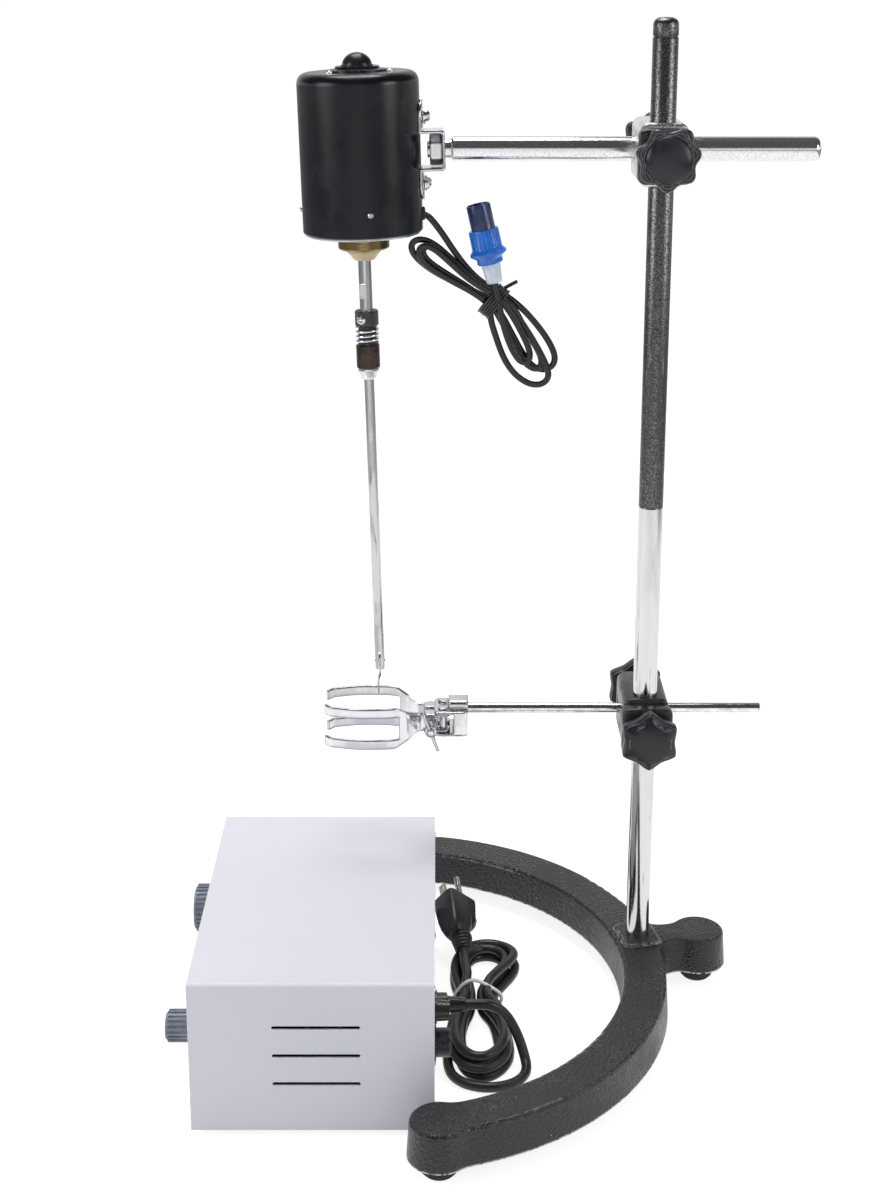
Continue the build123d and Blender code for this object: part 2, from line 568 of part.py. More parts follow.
def brush_holders():
    """Two carbon brushes in their holders, either side of the commutator."""
    z = -STATOR_HEIGHT / 2 - 7 - COMMUTATOR_HEIGHT / 2
    inner = COMMUTATOR_RADIUS + 0.2
    outer = CAN_RADIUS - CAN_WALL
    holders = []
    for angle in (60, 240):
        holder = block(inner + 2, outer, -4.5, 4.5, z - 4.5, z + 4.5) + block(inner, inner + 3, -3, 3, z - 3, z + 3)
        reach = bar((0, 0, z - 10), (0, 0, z + 10), outer)
        holders.append(MOTOR_FRAME * Rot(0, 0, angle) * (holder & reach))
    return Compound(children=holders)


def brass_boss():
    """Passivated ring that holds the lower bearing."""
    top = CAN_BOTTOM - END_PLATE_LIP
    low = top - BOSS_RING_HEIGHT
    ring = turned((BEARING_RADIUS, top), (BOSS_RING_RADIUS, top), (BOSS_RING_RADIUS, top - 1.8),
                  (BOSS_RING_RADIUS - 0.8, top - 2.6), (BOSS_RING_RADIUS, top - 3.4),
                  (BOSS_RING_RADIUS, low + 1.2), (BOSS_RING_RADIUS - 1.2, low),
                  (SHAFT_RADIUS + 1.5, low), (SHAFT_RADIUS + 1.5, top - BEARING_WIDTH),
                  (BEARING_RADIUS, top - BEARING_WIDTH))
    return MOTOR_FRAME * ring


def oil_seal():
    """Moulded seal that tapers to the shaft."""
    top = CAN_BOTTOM - END_PLATE_LIP - BOSS_RING_HEIGHT
    seal = turned((SHAFT_RADIUS + RUNNING_GAP, top), (SEAL_RADIUS, top), (SEAL_RADIUS - 0.6, top - 2.0),
                  (SEAL_TIP_RADIUS, top - SEAL_HEIGHT), (SHAFT_RADIUS + RUNNING_GAP, top - SEAL_HEIGHT))
    return MOTOR_FRAME * seal


# ---------------------------------------------------------------- rotor, chuck and stirring rod
COLLAR_BOTTOM = COLLAR_TOP - CHUCK_COLLAR_HEIGHT
SLEEVE_TOP = COLLAR_BOTTOM - SPRING_LENGTH
SLEEVE_BOTTOM = SLEEVE_TOP - SLEEVE_LENGTH
NOSE_TOP = SLEEVE_BOTTOM - NOSE_RING_LENGTH
NOSE_BOTTOM = NOSE_TOP - NOSE_LENGTH
STIR_ROD_TOP = COLLAR_BOTTOM - 4.0
SHAFT_BOTTOM = STIR_ROD_TOP + 2.0
BLADE_PIN_Z = STIR_ROD_BOTTOM + BLADE_PIN_RISE


def motor_shaft():
    """Steel shaft from the upper bearing to the chuck, with a milled flat."""
    top = CAN_TOP - CAN_WALL - 1.0
    shaft = bar((0, 0, SHAFT_BOTTOM), (0, 0, top), SHAFT_RADIUS)
    flat = Rot(0, 0, -115) * block(SHAFT_RADIUS - 0.9, SHAFT_RADIUS + 2, -6, 6, -100, -90)
    return MOTOR_FRAME * (shaft - flat)


def rotor_core():
    """Wound rotor with its commutator."""
    half = STATOR_HEIGHT / 2
    core = turned((SHAFT_RADIUS, -half), (ROTOR_RADIUS, -half), (ROTOR_RADIUS, half), (SHAFT_RADIUS, half))
    winding = turned((SHAFT_RADIUS, -half - 6), (ROTOR_RADIUS - 3, -half - 6), (ROTOR_RADIUS - 3, half + 8),
                     (SHAFT_RADIUS, half + 8))
    low = -half - 7 - COMMUTATOR_HEIGHT
    commutator = turned((SHAFT_RADIUS, low), (COMMUTATOR_RADIUS, low), (COMMUTATOR_RADIUS, -half - 5),
                        (SHAFT_RADIUS, -half - 5))
    return MOTOR_FRAME * (core + winding + commutator)


def chuck_body():
    """Quick chuck: knurled collar, slim core under the spring, and a tapered nose."""
    body = turned((0, COLLAR_TOP), (CHUCK_RADIUS - 0.6, COLLAR_TOP), (CHUCK_RADIUS, COLLAR_TOP - 0.6),
                  (CHUCK_RADIUS, COLLAR_BOTTOM + 0.6), (CHUCK_RADIUS - 0.6, COLLAR_BOTTOM),
                  (CHUCK_CORE_RADIUS, COLLAR_BOTTOM), (CHUCK_CORE_RADIUS, SLEEVE_BOTTOM),
                  (CHUCK_CORE_RADIUS + 1.0, SLEEVE_BOTTOM), (CHUCK_CORE_RADIUS + 1.0, NOSE_TOP),
                  (CHUCK_CORE_RADIUS + 0.6, NOSE_TOP), (NOSE_TIP_RADIUS, NOSE_BOTTOM), (0, NOSE_BOTTOM))
    body -= bar((0, 0, SHAFT_BOTTOM), (0, 0, COLLAR_TOP + 1), SHAFT_RADIUS)
    body -= bar((0, 0, NOSE_BOTTOM - 1), (0, 0, STIR_ROD_TOP), STIR_ROD_RADIUS)
    screw_z = (COLLAR_TOP + COLLAR_BOTTOM) / 2
    body -= CHUCK_SCREW_TURN * bar((SHAFT_RADIUS, 0, screw_z), (CHUCK_RADIUS + 1, 0, screw_z), 2.5)
    body -= CHUCK_SCREW_TURN * bar((CHUCK_RADIUS - 0.6, 0, screw_z), (CHUCK_RADIUS + 1, 0, screw_z), 3.4)
    return MOTOR_FRAME * body


CHUCK_SCREW_TURN = Rot(0, 0, -115)


def chuck_screw():
    """Cross-headed screw that holds the collar on the shaft."""
    screw_z = (COLLAR_TOP + COLLAR_BOTTOM) / 2
    place = CHUCK_SCREW_TURN * facing((1, 0, 0), (CHUCK_RADIUS - 0.6, 0, screw_z))
    head = pan_screw(3.3, 1.9, 1.0)
    shank = bar((0, 0, SHAFT_RADIUS - CHUCK_RADIUS + 0.6), (0, 0, 0.5), 2.5)
    return MOTOR_FRAME * place * (head + shank)


def chuck_spring():
    """Compression spring between the collar and the sleeve."""
    radius = CHUCK_RADIUS - SPRING_WIRE - 0.2
    low = SLEEVE_TOP + SPRING_WIRE + 0.1
    height = SPRING_LENGTH - 2 * SPRING_WIRE - 0.2
    path = Pos(0, 0, low) * Helix(height / SPRING_TURNS, height, radius)
    wire = sweep(Plane(origin=path @ 0, z_dir=path % 0) * Rectangle(2 * SPRING_WIRE, 2 * SPRING_WIRE), path,
                 is_frenet=True)
    return MOTOR_FRAME * wire


def chuck_sleeve():
    """Knurled release sleeve that slides up against the spring."""
    bore = CHUCK_CORE_RADIUS + RUNNING_GAP
    sleeve = turned((bore, SLEEVE_BOTTOM), (CHUCK_RADIUS - 0.5, SLEEVE_BOTTOM),
                    (CHUCK_RADIUS, SLEEVE_BOTTOM + 0.8), (CHUCK_RADIUS, SLEEVE_TOP - 0.6),
                    (CHUCK_RADIUS - 0.6, SLEEVE_TOP), (bore, SLEEVE_TOP))
    return MOTOR_FRAME * sleeve


def stirring_rod():
    """Stainless rod with a slotted end and the blade's rivet across the slot."""
    rod = bar((0, 0, STIR_ROD_BOTTOM), (0, 0, STIR_ROD_TOP), STIR_ROD_RADIUS)
    rod = chamfer(rod.edges().sort_by(Axis.Z)[0], 0.6)
    rod -= block(-SLOT_WIDTH / 2, SLOT_WIDTH / 2, -5, 5, STIR_ROD_BOTTOM - 1, STIR_ROD_BOTTOM + SLOT_HEIGHT)
    rivet = bar((-STIR_ROD_RADIUS - 0.5, 0, BLADE_PIN_Z), (STIR_ROD_RADIUS + 0.5, 0, BLADE_PIN_Z), BLADE_PIN_RADIUS)
    return MOTOR_FRAME * (rod + rivet)


def stirring_blade():
    """Thin folding blade on the rivet: a narrow tab above, a wider cranked leaf below."""
    half = BLADE_THICKNESS / 2
    tip = STIR_ROD_BOTTOM - BLADE_BELOW
    root = STIR_ROD_BOTTOM - 1.0
    crank = 1.6
    edge = Polyline((-half, BLADE_PIN_Z + BLADE_TAB), (half, BLADE_PIN_Z + BLADE_TAB), (half, root - 2),
                    (half - crank, root - 7), (half - crank, tip), (-half - crank, tip),
                    (-half - crank, root - 7), (-half, root - 2), close=True)
    strip = extrude(Plane.XZ * make_face(edge), BLADE_WIDTH, both=True)
    leaf = Pos(0, (tip + root - 2) / 2) * RectangleRounded(BLADE_WIDTH, root - 2 - tip, 2.5)
    tab = Pos(0, (BLADE_PIN_Z + BLADE_TAB + root - 4) / 2) * RectangleRounded(
        6.0, BLADE_PIN_Z + BLADE_TAB - root + 4, 2.4)
    blade = strip & extrude(Plane.YZ * (leaf + tab), 10, both=True)
    hole = bar((-5, 0, BLADE_PIN_Z), (5, 0, BLADE_PIN_Z), BLADE_PIN_RADIUS + RUNNING_GAP)
    return MOTOR_FRAME * (blade - hole)


# ---------------------------------------------------------------- flask clamp
JAW_Z = CLAMP_HEIGHT - JAW_DROP
JAW_ROUTE = [(-148, 8.0), (-162, 8.0), (-170, 16.5), (-182, 21.5), (-206, 22.5), (-225, 17.5), (-229, 12.5)]
JAW_BENDS = [8.0, 10.0, 26.0, 60.0, 3.0]


def jaw(side):
    """One pressed jaw: two fingers, a palm and two pivot ears; side is +1 at the back, -1 in front."""
    route = FilletPolyline(*[(x, y) for x, y in JAW_ROUTE], radius=JAW_BENDS)
    high = FINGER_PITCH / 2 + FINGER_HEIGHT / 2
    low = FINGER_PITCH / 2 - FINGER_HEIGHT / 2
    band = extrude(trace(route, JAW_SHEET), high, both=True)
    outline = Polyline((-235, high), (-178, high), (-163, NECK_HALF_HEIGHT), (-140, NECK_HALF_HEIGHT),
                       (-140, -NECK_HALF_HEIGHT), (-163, -NECK_HALF_HEIGHT), (-178, -high), (-235, -high),
                       close=True)
    shape = make_face(outline)
    shape = fillet([v for v in shape.vertices() if v.X > -230 and v.X < -150], 7.0)
    gap = Pos(-206, 0) * Rectangle(60, 2 * low) + Pos(-176 - low, 0) * Circle(low)
    shape -= gap
    band &= extrude(Plane.XZ * shape, 60, both=True)
    pin_y = JAW_PIN_SPACING / 2
    ear = Pos(JAW_PIN_X, pin_y) * Circle(EAR_RADIUS)
    ear += Pos(JAW_PIN_X - 7, pin_y + 0.5) * Rectangle(14, 2 * EAR_RADIUS - 1)
    ear -= Pos(JAW_PIN_X, pin_y) * Circle(JAW_PIN_RADIUS + RUNNING_GAP)
    for z in (NECK_HALF_HEIGHT - JAW_SHEET, -NECK_HALF_HEIGHT):
        band += Pos(0, 0, z) * extrude(ear, JAW_SHEET)
    band -= bar((WING_SCREW_X, 0, 0), (WING_SCREW_X, 15, 0), WING_SCREW_RADIUS + WING_HOLE_GAP)
    if side < 0:
        band = mirror(band, Plane.XZ)
    return Pos(0, CLAMP_Y, JAW_Z) * band


def clamp_body():
    """Riveted body: two plates over the jaws' ears, their pins, and a block bored for the rod."""
    inner = NECK_HALF_HEIGHT + SEAT_GAP
    outer = inner + JAW_SHEET
    half = CLAMP_BODY_WIDTH / 2
    plate = RectangleRounded(CLAMP_BODY_RIGHT - CLAMP_BODY_LEFT, CLAMP_BODY_WIDTH, 4)
    centre = (CLAMP_BODY_RIGHT + CLAMP_BODY_LEFT) / 2
    body = Pos(centre, 0, inner) * extrude(plate, JAW_SHEET)
    body += Pos(centre, 0, -outer) * extrude(plate, JAW_SHEET)
    rear = block(CLAMP_BODY_RIGHT - CLAMP_BLOCK_LENGTH + 2.5, CLAMP_BODY_RIGHT, -half, half, -outer, outer)
    rear = fillet(rear.edges().filter_by(Axis.Z).sort_by(Axis.X)[2:], 4)
    crown = Pos(CLAMP_BODY_RIGHT - 7, 0, outer + CLAMP_BLOCK_RISE / 2 - 1) * Box(14, 16, CLAMP_BLOCK_RISE + 2)
    crown = fillet(crown.edges().filter_by(Axis.X), 3)
    body += rear + crown
    for y in (-JAW_PIN_SPACING / 2, JAW_PIN_SPACING / 2):
        body += bar((JAW_PIN_X, y, -outer), (JAW_PIN_X, y, outer), JAW_PIN_RADIUS)
        for z in (outer, -outer - 1.4):
            body += bar((JAW_PIN_X, y, z), (JAW_PIN_X, y, z + 1.4), JAW_PIN_RADIUS + 1.2)
    body -= bar((CLAMP_ROD_LEFT, 0, JAW_DROP), (CLAMP_BODY_RIGHT + 5, 0, JAW_DROP), CLAMP_ROD_RADIUS)
    return Pos(0, CLAMP_Y, JAW_Z) * body


def clamp_rod():
    """Slim rod that carries the flask clamp."""
    rod = bar((CLAMP_ROD_LEFT, CLAMP_Y, CLAMP_HEIGHT), (CLAMP_ROD_RIGHT, CLAMP_Y, CLAMP_HEIGHT), CLAMP_ROD_RADIUS)
    return chamfer(rod.edges().filter_by(GeomType.CIRCLE).sort_by(Axis.X)[-1], 0.8)


def wing_screw():
    """Screw through both jaws, with its winged nut in front."""
    tail = JAW_PIN_SPACING / 2 + 7.5
    front = -tail
    nose = front - 15.0
    screw = bar((0, tail + 3.5, 0), (0, nose, 0), WING_SCREW_RADIUS)
    screw += bar((0, tail, 0), (0, tail + 3.0, 0), 5.0)
    screw += bar((0, front, 0), (0, nose + 3, 0), 4.4)
    wing = RectangleRounded(2 * WING_RADIUS, WING_WIDTH, 3.2)
    wings = extrude(wing, 1.0, both=True)
    place = Pos(0, nose + WING_WIDTH / 2 + 0.5, 0) * Rot(0, -WING_ANGLE, 0)
    screw += place * wings
    return Pos(WING_SCREW_X, CLAMP_Y, JAW_Z) * screw


# ---------------------------------------------------------------- control box
def case_cover():
    """Folded cover: top and two vented sides."""
    low = CASE_FLOOR
    middle = (CASE_TOP + low) / 2
    outer = Pos(CASE_X, CASE_Y, middle) * Box(CASE_WIDTH, CASE_DEPTH, CASE_TOP - low)
    top_edges = outer.edges().filter_by(Axis.X).sort_by(Axis.Z)[-2:]
    outer = fillet(top_edges, CASE_CORNER)
    inner = Pos(CASE_X, CASE_Y, middle - CASE_SHEET) * Box(CASE_WIDTH + 2, CASE_DEPTH - 2 * CASE_SHEET,
                                                            CASE_TOP - low)
    inner = fillet(inner.edges().filter_by(Axis.X).sort_by(Axis.Z)[-2:], CASE_CORNER - CASE_SHEET)
    cover = outer - inner
    vent = extrude(Plane.XZ * SlotOverall(VENT_LENGTH, VENT_HEIGHT), CASE_DEPTH, both=True)
    for i in range(VENTS):
        lift = (i - (VENTS - 1) / 2) * VENT_PITCH
        cover -= Pos(CASE_X + VENT_X, CASE_Y, VENT_MIDDLE + lift) * vent
    return cover


def panel_x(front):
    """Outer face of the control panel (front) or the connector panel."""
    return CASE_LEFT + PANEL_INSET if front else CASE_RIGHT - PANEL_INSET


def case_chassis():
    """Folded chassis: floor, control panel at -X and connector panel at +X, with their holes."""
    gap = CASE_SHEET + SEAT_GAP
    front, rear = panel_x(True), panel_x(False)
    y0, y1 = CASE_FRONT + gap, CASE_FRONT + CASE_DEPTH - gap
    top = CASE_TOP - gap - CASE_CORNER
    floor = block(front, rear, y0, y1, CASE_FLOOR, CASE_FLOOR + CASE_SHEET)
    chassis = floor + block(front, front + CASE_SHEET, y0, y1, CASE_FLOOR, top)
    chassis += block(rear - CASE_SHEET, rear, y0, y1, CASE_FLOOR, top)
    for (y, z), radius in ((SPEED_KNOB, 5.0), (TIMER_KNOB, 5.0)):
        chassis -= bar((front - 3, y, z), (front + 5, y, z), radius)
    y, z = SWITCH
    chassis -= block(front - 3, front + 5, y - SWITCH_WIDTH / 2, y + SWITCH_WIDTH / 2,
                     z - SWITCH_HEIGHT / 2, z + SWITCH_HEIGHT / 2)
    for (y, z), radius in ((SOCKET, SOCKET_RADIUS - 2), (FUSE, FUSE_RADIUS - 1.5), (GLAND, GLAND_RADIUS - 2)):
        chassis -= bar((rear - 5, y, z), (rear + 3, y, z), radius)
    for x, y in foot_points():
        chassis -= bar((x, y, 0), (x, y, CASE_FLOOR + 3), CASE_STEM_RADIUS + SEAT_GAP)
    return chassis


def foot_points():
    """Centres of the box's four feet."""
    dx = CASE_WIDTH / 2 - CASE_FOOT_INSET
    dy = CASE_DEPTH / 2 - CASE_FOOT_INSET
    return [(CASE_X + i * dx, CASE_Y + j * dy) for i in (-1, 1) for j in (-1, 1)]


def case_feet():
    """Four small rubber feet pushed into the floor."""
    floor_top = CASE_FLOOR + CASE_SHEET
    foot = turned((0, 0), (CASE_FOOT_RADIUS - 1.0, 0), (CASE_FOOT_RADIUS, 1.0),
                  (CASE_FOOT_RADIUS, CASE_FLOOR), (CASE_STEM_RADIUS, CASE_FLOOR), (CASE_STEM_RADIUS, floor_top),
                  (CASE_STEM_RADIUS + 1.2, floor_top), (CASE_STEM_RADIUS, floor_top + 2.5),
                  (0, floor_top + 2.5))
    return Compound(children=[Pos(x, y, 0) * foot for x, y in foot_points()])


def circuit_board():
    """Speed regulator board on the floor, with its heat sink, capacitor and terminals."""
    x0, y0, z0 = CASE_X - BOARD_WIDTH / 2, CASE_Y - BOARD_DEPTH / 2, CASE_FLOOR + CASE_SHEET
    top = z0 + BOARD_STANDOFF + BOARD_THICKNESS
    x1, y1 = x0 + BOARD_WIDTH, y0 + BOARD_DEPTH
    board = block(x0, x1, y0, y1, z0 + BOARD_STANDOFF, top)
    for x in (x0 + 6, x1 - 6):
        for y in (y0 + 6, y1 - 6):
            board += bar((x, y, z0), (x, y, top - 1), 3.0)
    capacitor = (x0 + BOARD_WIDTH * 0.28, y0 + BOARD_DEPTH * 0.2)
    board += bar((*capacitor, top - 0.5), (*capacitor, top + 25), 11.0)
    sink = x1 - BOARD_WIDTH / 3
    board += block(sink, sink + 3, y0 + 20, y0 + BOARD_DEPTH * 0.67, top - 0.5, top + 36)
    for k in range(5):
        board += block(sink + 2, sink + 16, y0 + 22 + 13 * k, y0 + 24 + 13 * k, top - 0.5, top + 36)
    board += block(x0 + 10, x0 + 50, y1 - 25, y1 - 15, top - 0.5, top + 11)
    return board


def panel_controls():
    """Speed potentiometer and timer movement behind the control panel."""
    inside = panel_x(True) + CASE_SHEET
    units = []
    for (y, z), radius, depth in ((SPEED_KNOB, 12.0, 14.0), (TIMER_KNOB, 16.0, 26.0)):
        unit = bar((inside, y, z), (inside + depth, y, z), radius)
        unit += bar((inside - CASE_SHEET - 1.0, y, z), (inside + 1, y, z), 4.8)
        unit -= bar((inside - 20, y, z), (inside + depth - 3, y, z), CONTROL_SHAFT_RADIUS + RUNNING_GAP)
        units.append(unit)
    return Compound(children=units)


def case_knob(spot, radius, ribs, depth):
    """Ribbed control knob with its shaft; it looks along -X."""
    y, z = spot
    skirt = turned((0, 0), (radius, 0), (radius, 3.0), (radius - 1.2, 3.6), (radius - 2.0, CASE_KNOB_LENGTH - 1),
                   (radius - 3.0, CASE_KNOB_LENGTH), (0, CASE_KNOB_LENGTH))
    for i in range(ribs):
        rib = block(radius - 3.2, radius - 0.6, -0.7, 0.7, 3.0, CASE_KNOB_LENGTH - 1.6)
        skirt += Rot(0, 0, 360 * i / ribs) * rib
    skirt += bar((0, 0, -PANEL_INSET - depth), (0, 0, 2), CONTROL_SHAFT_RADIUS)
    skirt -= block(-0.6, 0.6, 2, radius, CASE_KNOB_LENGTH - 0.8, CASE_KNOB_LENGTH + 1)
    return facing((-1, 0, 0), (CASE_LEFT - SEAT_GAP, y, z)) * skirt


def switch_frame():
    """Housing of the power switch, with a thin bezel on the panel."""
    y, z = SWITCH
    face = panel_x(True)
    w, h = SWITCH_WIDTH / 2, SWITCH_HEIGHT / 2
    frame = block(face - 1.5, face, y - w - 1.5, y + w + 1.5, z - h - 1.5, z + h + 1.5)
    frame += block(face - 1.0, face + SWITCH_DEPTH, y - w + 0.1, y + w - 0.1, z - h + 0.1, z + h - 0.1)
    pivot = face - 1.5 + ROCKER_PIVOT
    frame -= block(face - 3, face + 10, y - w + 1.5, y + w - 1.5, z - h + 1.5, z + h - 1.5)
    return frame - bar((pivot, y, z - h + 0.3), (pivot, y, z + h - 0.3), ROCKER_PIN_RADIUS + RUNNING_GAP)


def rocker():
    """Power rocker, pressed in at its lower end."""
    y, z = SWITCH
    half = SWITCH_HEIGHT / 2 - 1.5 - SEAT_GAP
    side = SWITCH_WIDTH / 2 - 1.5 - ROCKER_GAP
    face = panel_x(True) - 1.5
    top = Polyline((face + 4, -side), (face - 2.2, -side), (face + 0.4, 0), (face + 0.1, side),
                   (face + 4, side), (face + 6, 0), close=True)
    key = extrude(make_face(top), half, both=True)
    key += bar((face + ROCKER_PIVOT, 0, -half - 1), (face + ROCKER_PIVOT, 0, half + 1), ROCKER_PIN_RADIUS)
    return Pos(0, y, z) * key


def motor_socket():
    """Round threaded outlet for the motor's lead."""
    y, z = SOCKET
    face = panel_x(False)
    body = turned((0, -12), (SOCKET_RADIUS - 2.2, -12), (SOCKET_RADIUS - 2.2, 0), (SOCKET_RADIUS + 2.5, 0),
                  (SOCKET_RADIUS + 2.5, 2), (SOCKET_RADIUS, 2), (SOCKET_RADIUS, SOCKET_LENGTH - 1),
                  (SOCKET_RADIUS - 1, SOCKET_LENGTH), (SOCKET_RADIUS - 2, SOCKET_LENGTH),
                  (SOCKET_RADIUS - 2, 3), (0, 3))
    for angle in (0, 120, 240):
        pin = Rot(0, 0, angle) * Pos(3.2, 0, 2.5)
        body += pin * Pos(0, 0, 3) * Cylinder(0.9, 6)
    return facing((1, 0, 0), (face, y, z)) * body


def fuse_holder():
    """Fuse holder with a slotted cap."""
    y, z = FUSE
    face = panel_x(False)
    body = turned((0, -22), (FUSE_RADIUS - 1.6, -22), (FUSE_RADIUS - 1.6, 0), (FUSE_RADIUS + 1.5, 0),
                  (FUSE_RADIUS + 1.5, 2.4), (FUSE_RADIUS, 2.4), (FUSE_RADIUS - 0.6, FUSE_LENGTH),
                  (0, FUSE_LENGTH))
    body -= block(-0.7, 0.7, -4.5, 4.5, FUSE_LENGTH - 1.5, FUSE_LENGTH + 1)
    return facing((1, 0, 0), (face, y, z)) * body


def cable_gland():
    """Cable gland with a tapered strain relief round the mains cord."""
    y, z = GLAND
    face = panel_x(False)
    base = GLAND_LENGTH
    body = turned((0, -6), (GLAND_RADIUS - 2.2, -6), (GLAND_RADIUS - 2.2, 0), (GLAND_RADIUS + 1.5, 0),
                  (GLAND_RADIUS + 1.5, 2.5), (GLAND_RADIUS, 2.5), (GLAND_RADIUS, base),
                  (MAINS_RADIUS + 2.2, base + 1), (MAINS_RADIUS + 0.9, RELIEF_LENGTH), (0, RELIEF_LENGTH))
    return facing((1, 0, 0), (face, y, z)) * body


# ---------------------------------------------------------------- cords
# Routes are chosen by hand, in millimetres from the upright's axis at floor level.
GLAND_EXIT = (CASE_RIGHT - PANEL_INSET + RELIEF_LENGTH, GLAND[0], GLAND[1])
MAINS_LOOP = [GLAND_EXIT, (-112, -104, 45), (-98, -101, 33), (-89.5, -103, 14), (-86.5, -115, 4.5),
              (-89, -128, 4), (-98, -137, 4), (-112, -140.5, 4), (-127, -137, 4), (-136, -125, 4)]
HANK_LOW = (-119.0, -85.0)
HANK_HIGH = (-112.5, 0.0)
HANK_HEIGHT = 21.0
PLUG_FOOT = (-130.0, 24.0, 21.0)
PLUG_RISE = 15.0              # degrees
PLUG_ROLL = 40.0
PLUG_YAW = 8.0
PLUG_LENGTH = 40.0
PLUG_TAIL = 12.0
LEAD_HANK = [(-151, -44), (-145, -48), (-133, -65), (-121, -80), (-110, -90), (-98, -99), (-88, -108),
             (-74, -124), (-65, -140), (-66, -149), (-71, -165), (-79, -165), (-90, -157), (-104, -138),
             (-113, -117), (-121, -109), (-138, -98), (-158, -86), (-168, -76), (-169, -69), (-160, -64),
             (-152.5, -54)]      # x, and height from the arm's axis
LEAD_HANK_HALF = 8.0


def cord_radii(points):
    """Arc radius at each inner point: 0.45 of the shorter run over tan(half the turn)."""
    spots = [Vector(*p) for p in points]
    radii = []
    for a, b, c in zip(spots, spots[1:], spots[2:]):
        turn = math.radians((b - a).get_angle(c - b))
        radii.append(0.45 * min((b - a).length, (c - b).length) / math.tan(turn / 2))
    return radii


def cord_tube(name, points, radius):
    """Round cord along straight runs joined by tangent arcs."""
    radii = cord_radii(points)
    path = FilletPolyline(*points, radius=radii)
    tube = sweep(Plane(origin=path @ 0, z_dir=path % 0) * Circle(radius), path)
    share = tube.volume / (math.pi * radius ** 2 * path.length)
    print(name, "radii", [round(r, 1) for r in radii], "length", round(path.length, 1), "volume share",
          round(share, 4))
    return tube


def mains_hank():
    """Outer shape of the tied hank of mains cord beside the box."""
    low = Pos(*HANK_LOW) * RectangleRounded(50, 96, 24)
    high = Pos(*HANK_HIGH) * RectangleRounded(54, 80, 24)
    shape = low + high - Pos(-121, -90) * SlotOverall(40, 14, rotation=90)
    shape -= Pos(-107, 8) * SlotOverall(28, 12, rotation=90)
    return extrude(shape, HANK_HEIGHT)


PLUG_FRAME = Pos(*PLUG_FOOT) * Rot(0, 0, PLUG_YAW) * Rot(PLUG_RISE, 0, 0) * Rot(0, PLUG_ROLL, 0)


def plug_body():
    """Moulded three-pin plug, blades towards +Y, with a ribbed tail."""
    body = loft([Plane.XZ.offset(0) * RectangleRounded(13, 13, 5),
                 Plane.XZ.offset(-14) * RectangleRounded(27, 21, 6),
                 Plane.XZ.offset(-PLUG_LENGTH) * RectangleRounded(30, 24, 6)], ruled=True)
    body = fillet(body.faces().sort_by(Axis.Y)[-1].edges(), 1.5)
    for k in range(3):
        body += bar((0, -3.4 * k - 2.4, 0), (0, -3.4 * k, 0), 6.0 - 0.5 * k)
    body += bar((0, -PLUG_TAIL, 0), (0, 1, 0), MAINS_RADIUS + 0.9)
    return PLUG_FRAME * body


def plug_pins():
    """Two flat blades and a round earth pin."""
    face = PLUG_LENGTH
    pins = []
    for x in (-6.35, 6.35):
        blade = block(x - 0.75, x + 0.75, face, face + 16.5, -6.5, -0.15)
        blade -= bar((x - 2, face + 12.5, -3.3), (x + 2, face + 12.5, -3.3), 1.5)
        pins.append(PLUG_FRAME * blade)
    pins.append(PLUG_FRAME * bar((0, face, 6.8), (0, face + 19, 6.8), 2.35))
    return Compound(children=pins)


def lead_hank():
    """Outer shape of the tied hank of motor lead: a bow pinched in the middle."""
    shape = Plane(origin=(0, ARM_Y, ARM_HEIGHT), x_dir=(1, 0, 0), z_dir=(0, -1, 0)) * make_face(
        Polyline(*LEAD_HANK, close=True))
    hank = extrude(shape, LEAD_HANK_HALF, both=True)
    return fillet(hank.edges().filter_by(Axis.Y), 2.0)


LEAD_EXIT = MOTOR_FRAME * Pos(CAN_RADIUS - 1, 0, GROMMET_Z)
CONNECTOR_FOOT = (-109.0, ARM_Y - 9.0, ARM_HEIGHT - 90.0)
CONNECTOR_TURN = -12.5        # degrees of lean towards -X, from upright


def motor_lead():
    """Motor lead outside the hank: a short run from the can and a tail to the connector."""
    start = LEAD_EXIT.position
    out = bar(tuple(start), (start.X + 7.5, ARM_Y, start.Z - 2.5), LEAD_RADIUS)
    tail = bar((-104.5, ARM_Y - LEAD_HANK_HALF, CONNECTOR_FOOT[2] - 16.0), CONNECTOR_FOOT, LEAD_RADIUS)
    return Compound(children=[out, tail])


def lead_connector():
    """In-line connector: sleeve, flanged collar and a tapered shell."""
    body = turned((0, 0), (5.6, 0), (6.8, 14), (9.0, 14), (9.0, 18), (12.6, 20.5), (12.6, 22.5), (10.6, 24.5),
                  (10.2, 38), (8.4, 38), (8.4, 55), (7.2, 55), (7.2, 46), (0, 46))
    return Pos(*CONNECTOR_FOOT) * Rot(0, CONNECTOR_TURN, 0) * body


# ---------------------------------------------------------------- assembly
ARM_TIP = ROD_SPACING + ROD_RADIUS + RUNNING_GAP
CLAMP_TIP = CLAMP_Y + CLAMP_ROD_RADIUS + RUNNING_GAP
UPRIGHT_TIP = -(ROD_RADIUS + RUNNING_GAP)
CORD_NODES = ["mains_cord", "mains_hank", "plug_body", "plug_pins", "motor_lead", "lead_hank", "lead_connector"]


def boss_pieces(name, height, lobes, rear_tip):
    """The five pieces of one boss head."""
    return {
        name + "_boss_casting": boss_casting(height),
        name + "_front_knob": knob_place(height, True) * star_knob(lobes),
        name + "_front_screw": clamp_screw(height, True, UPRIGHT_TIP),
        name + "_rear_knob": knob_place(height, False) * star_knob(lobes),
        name + "_rear_screw": clamp_screw(height, False, rear_tip),
    }


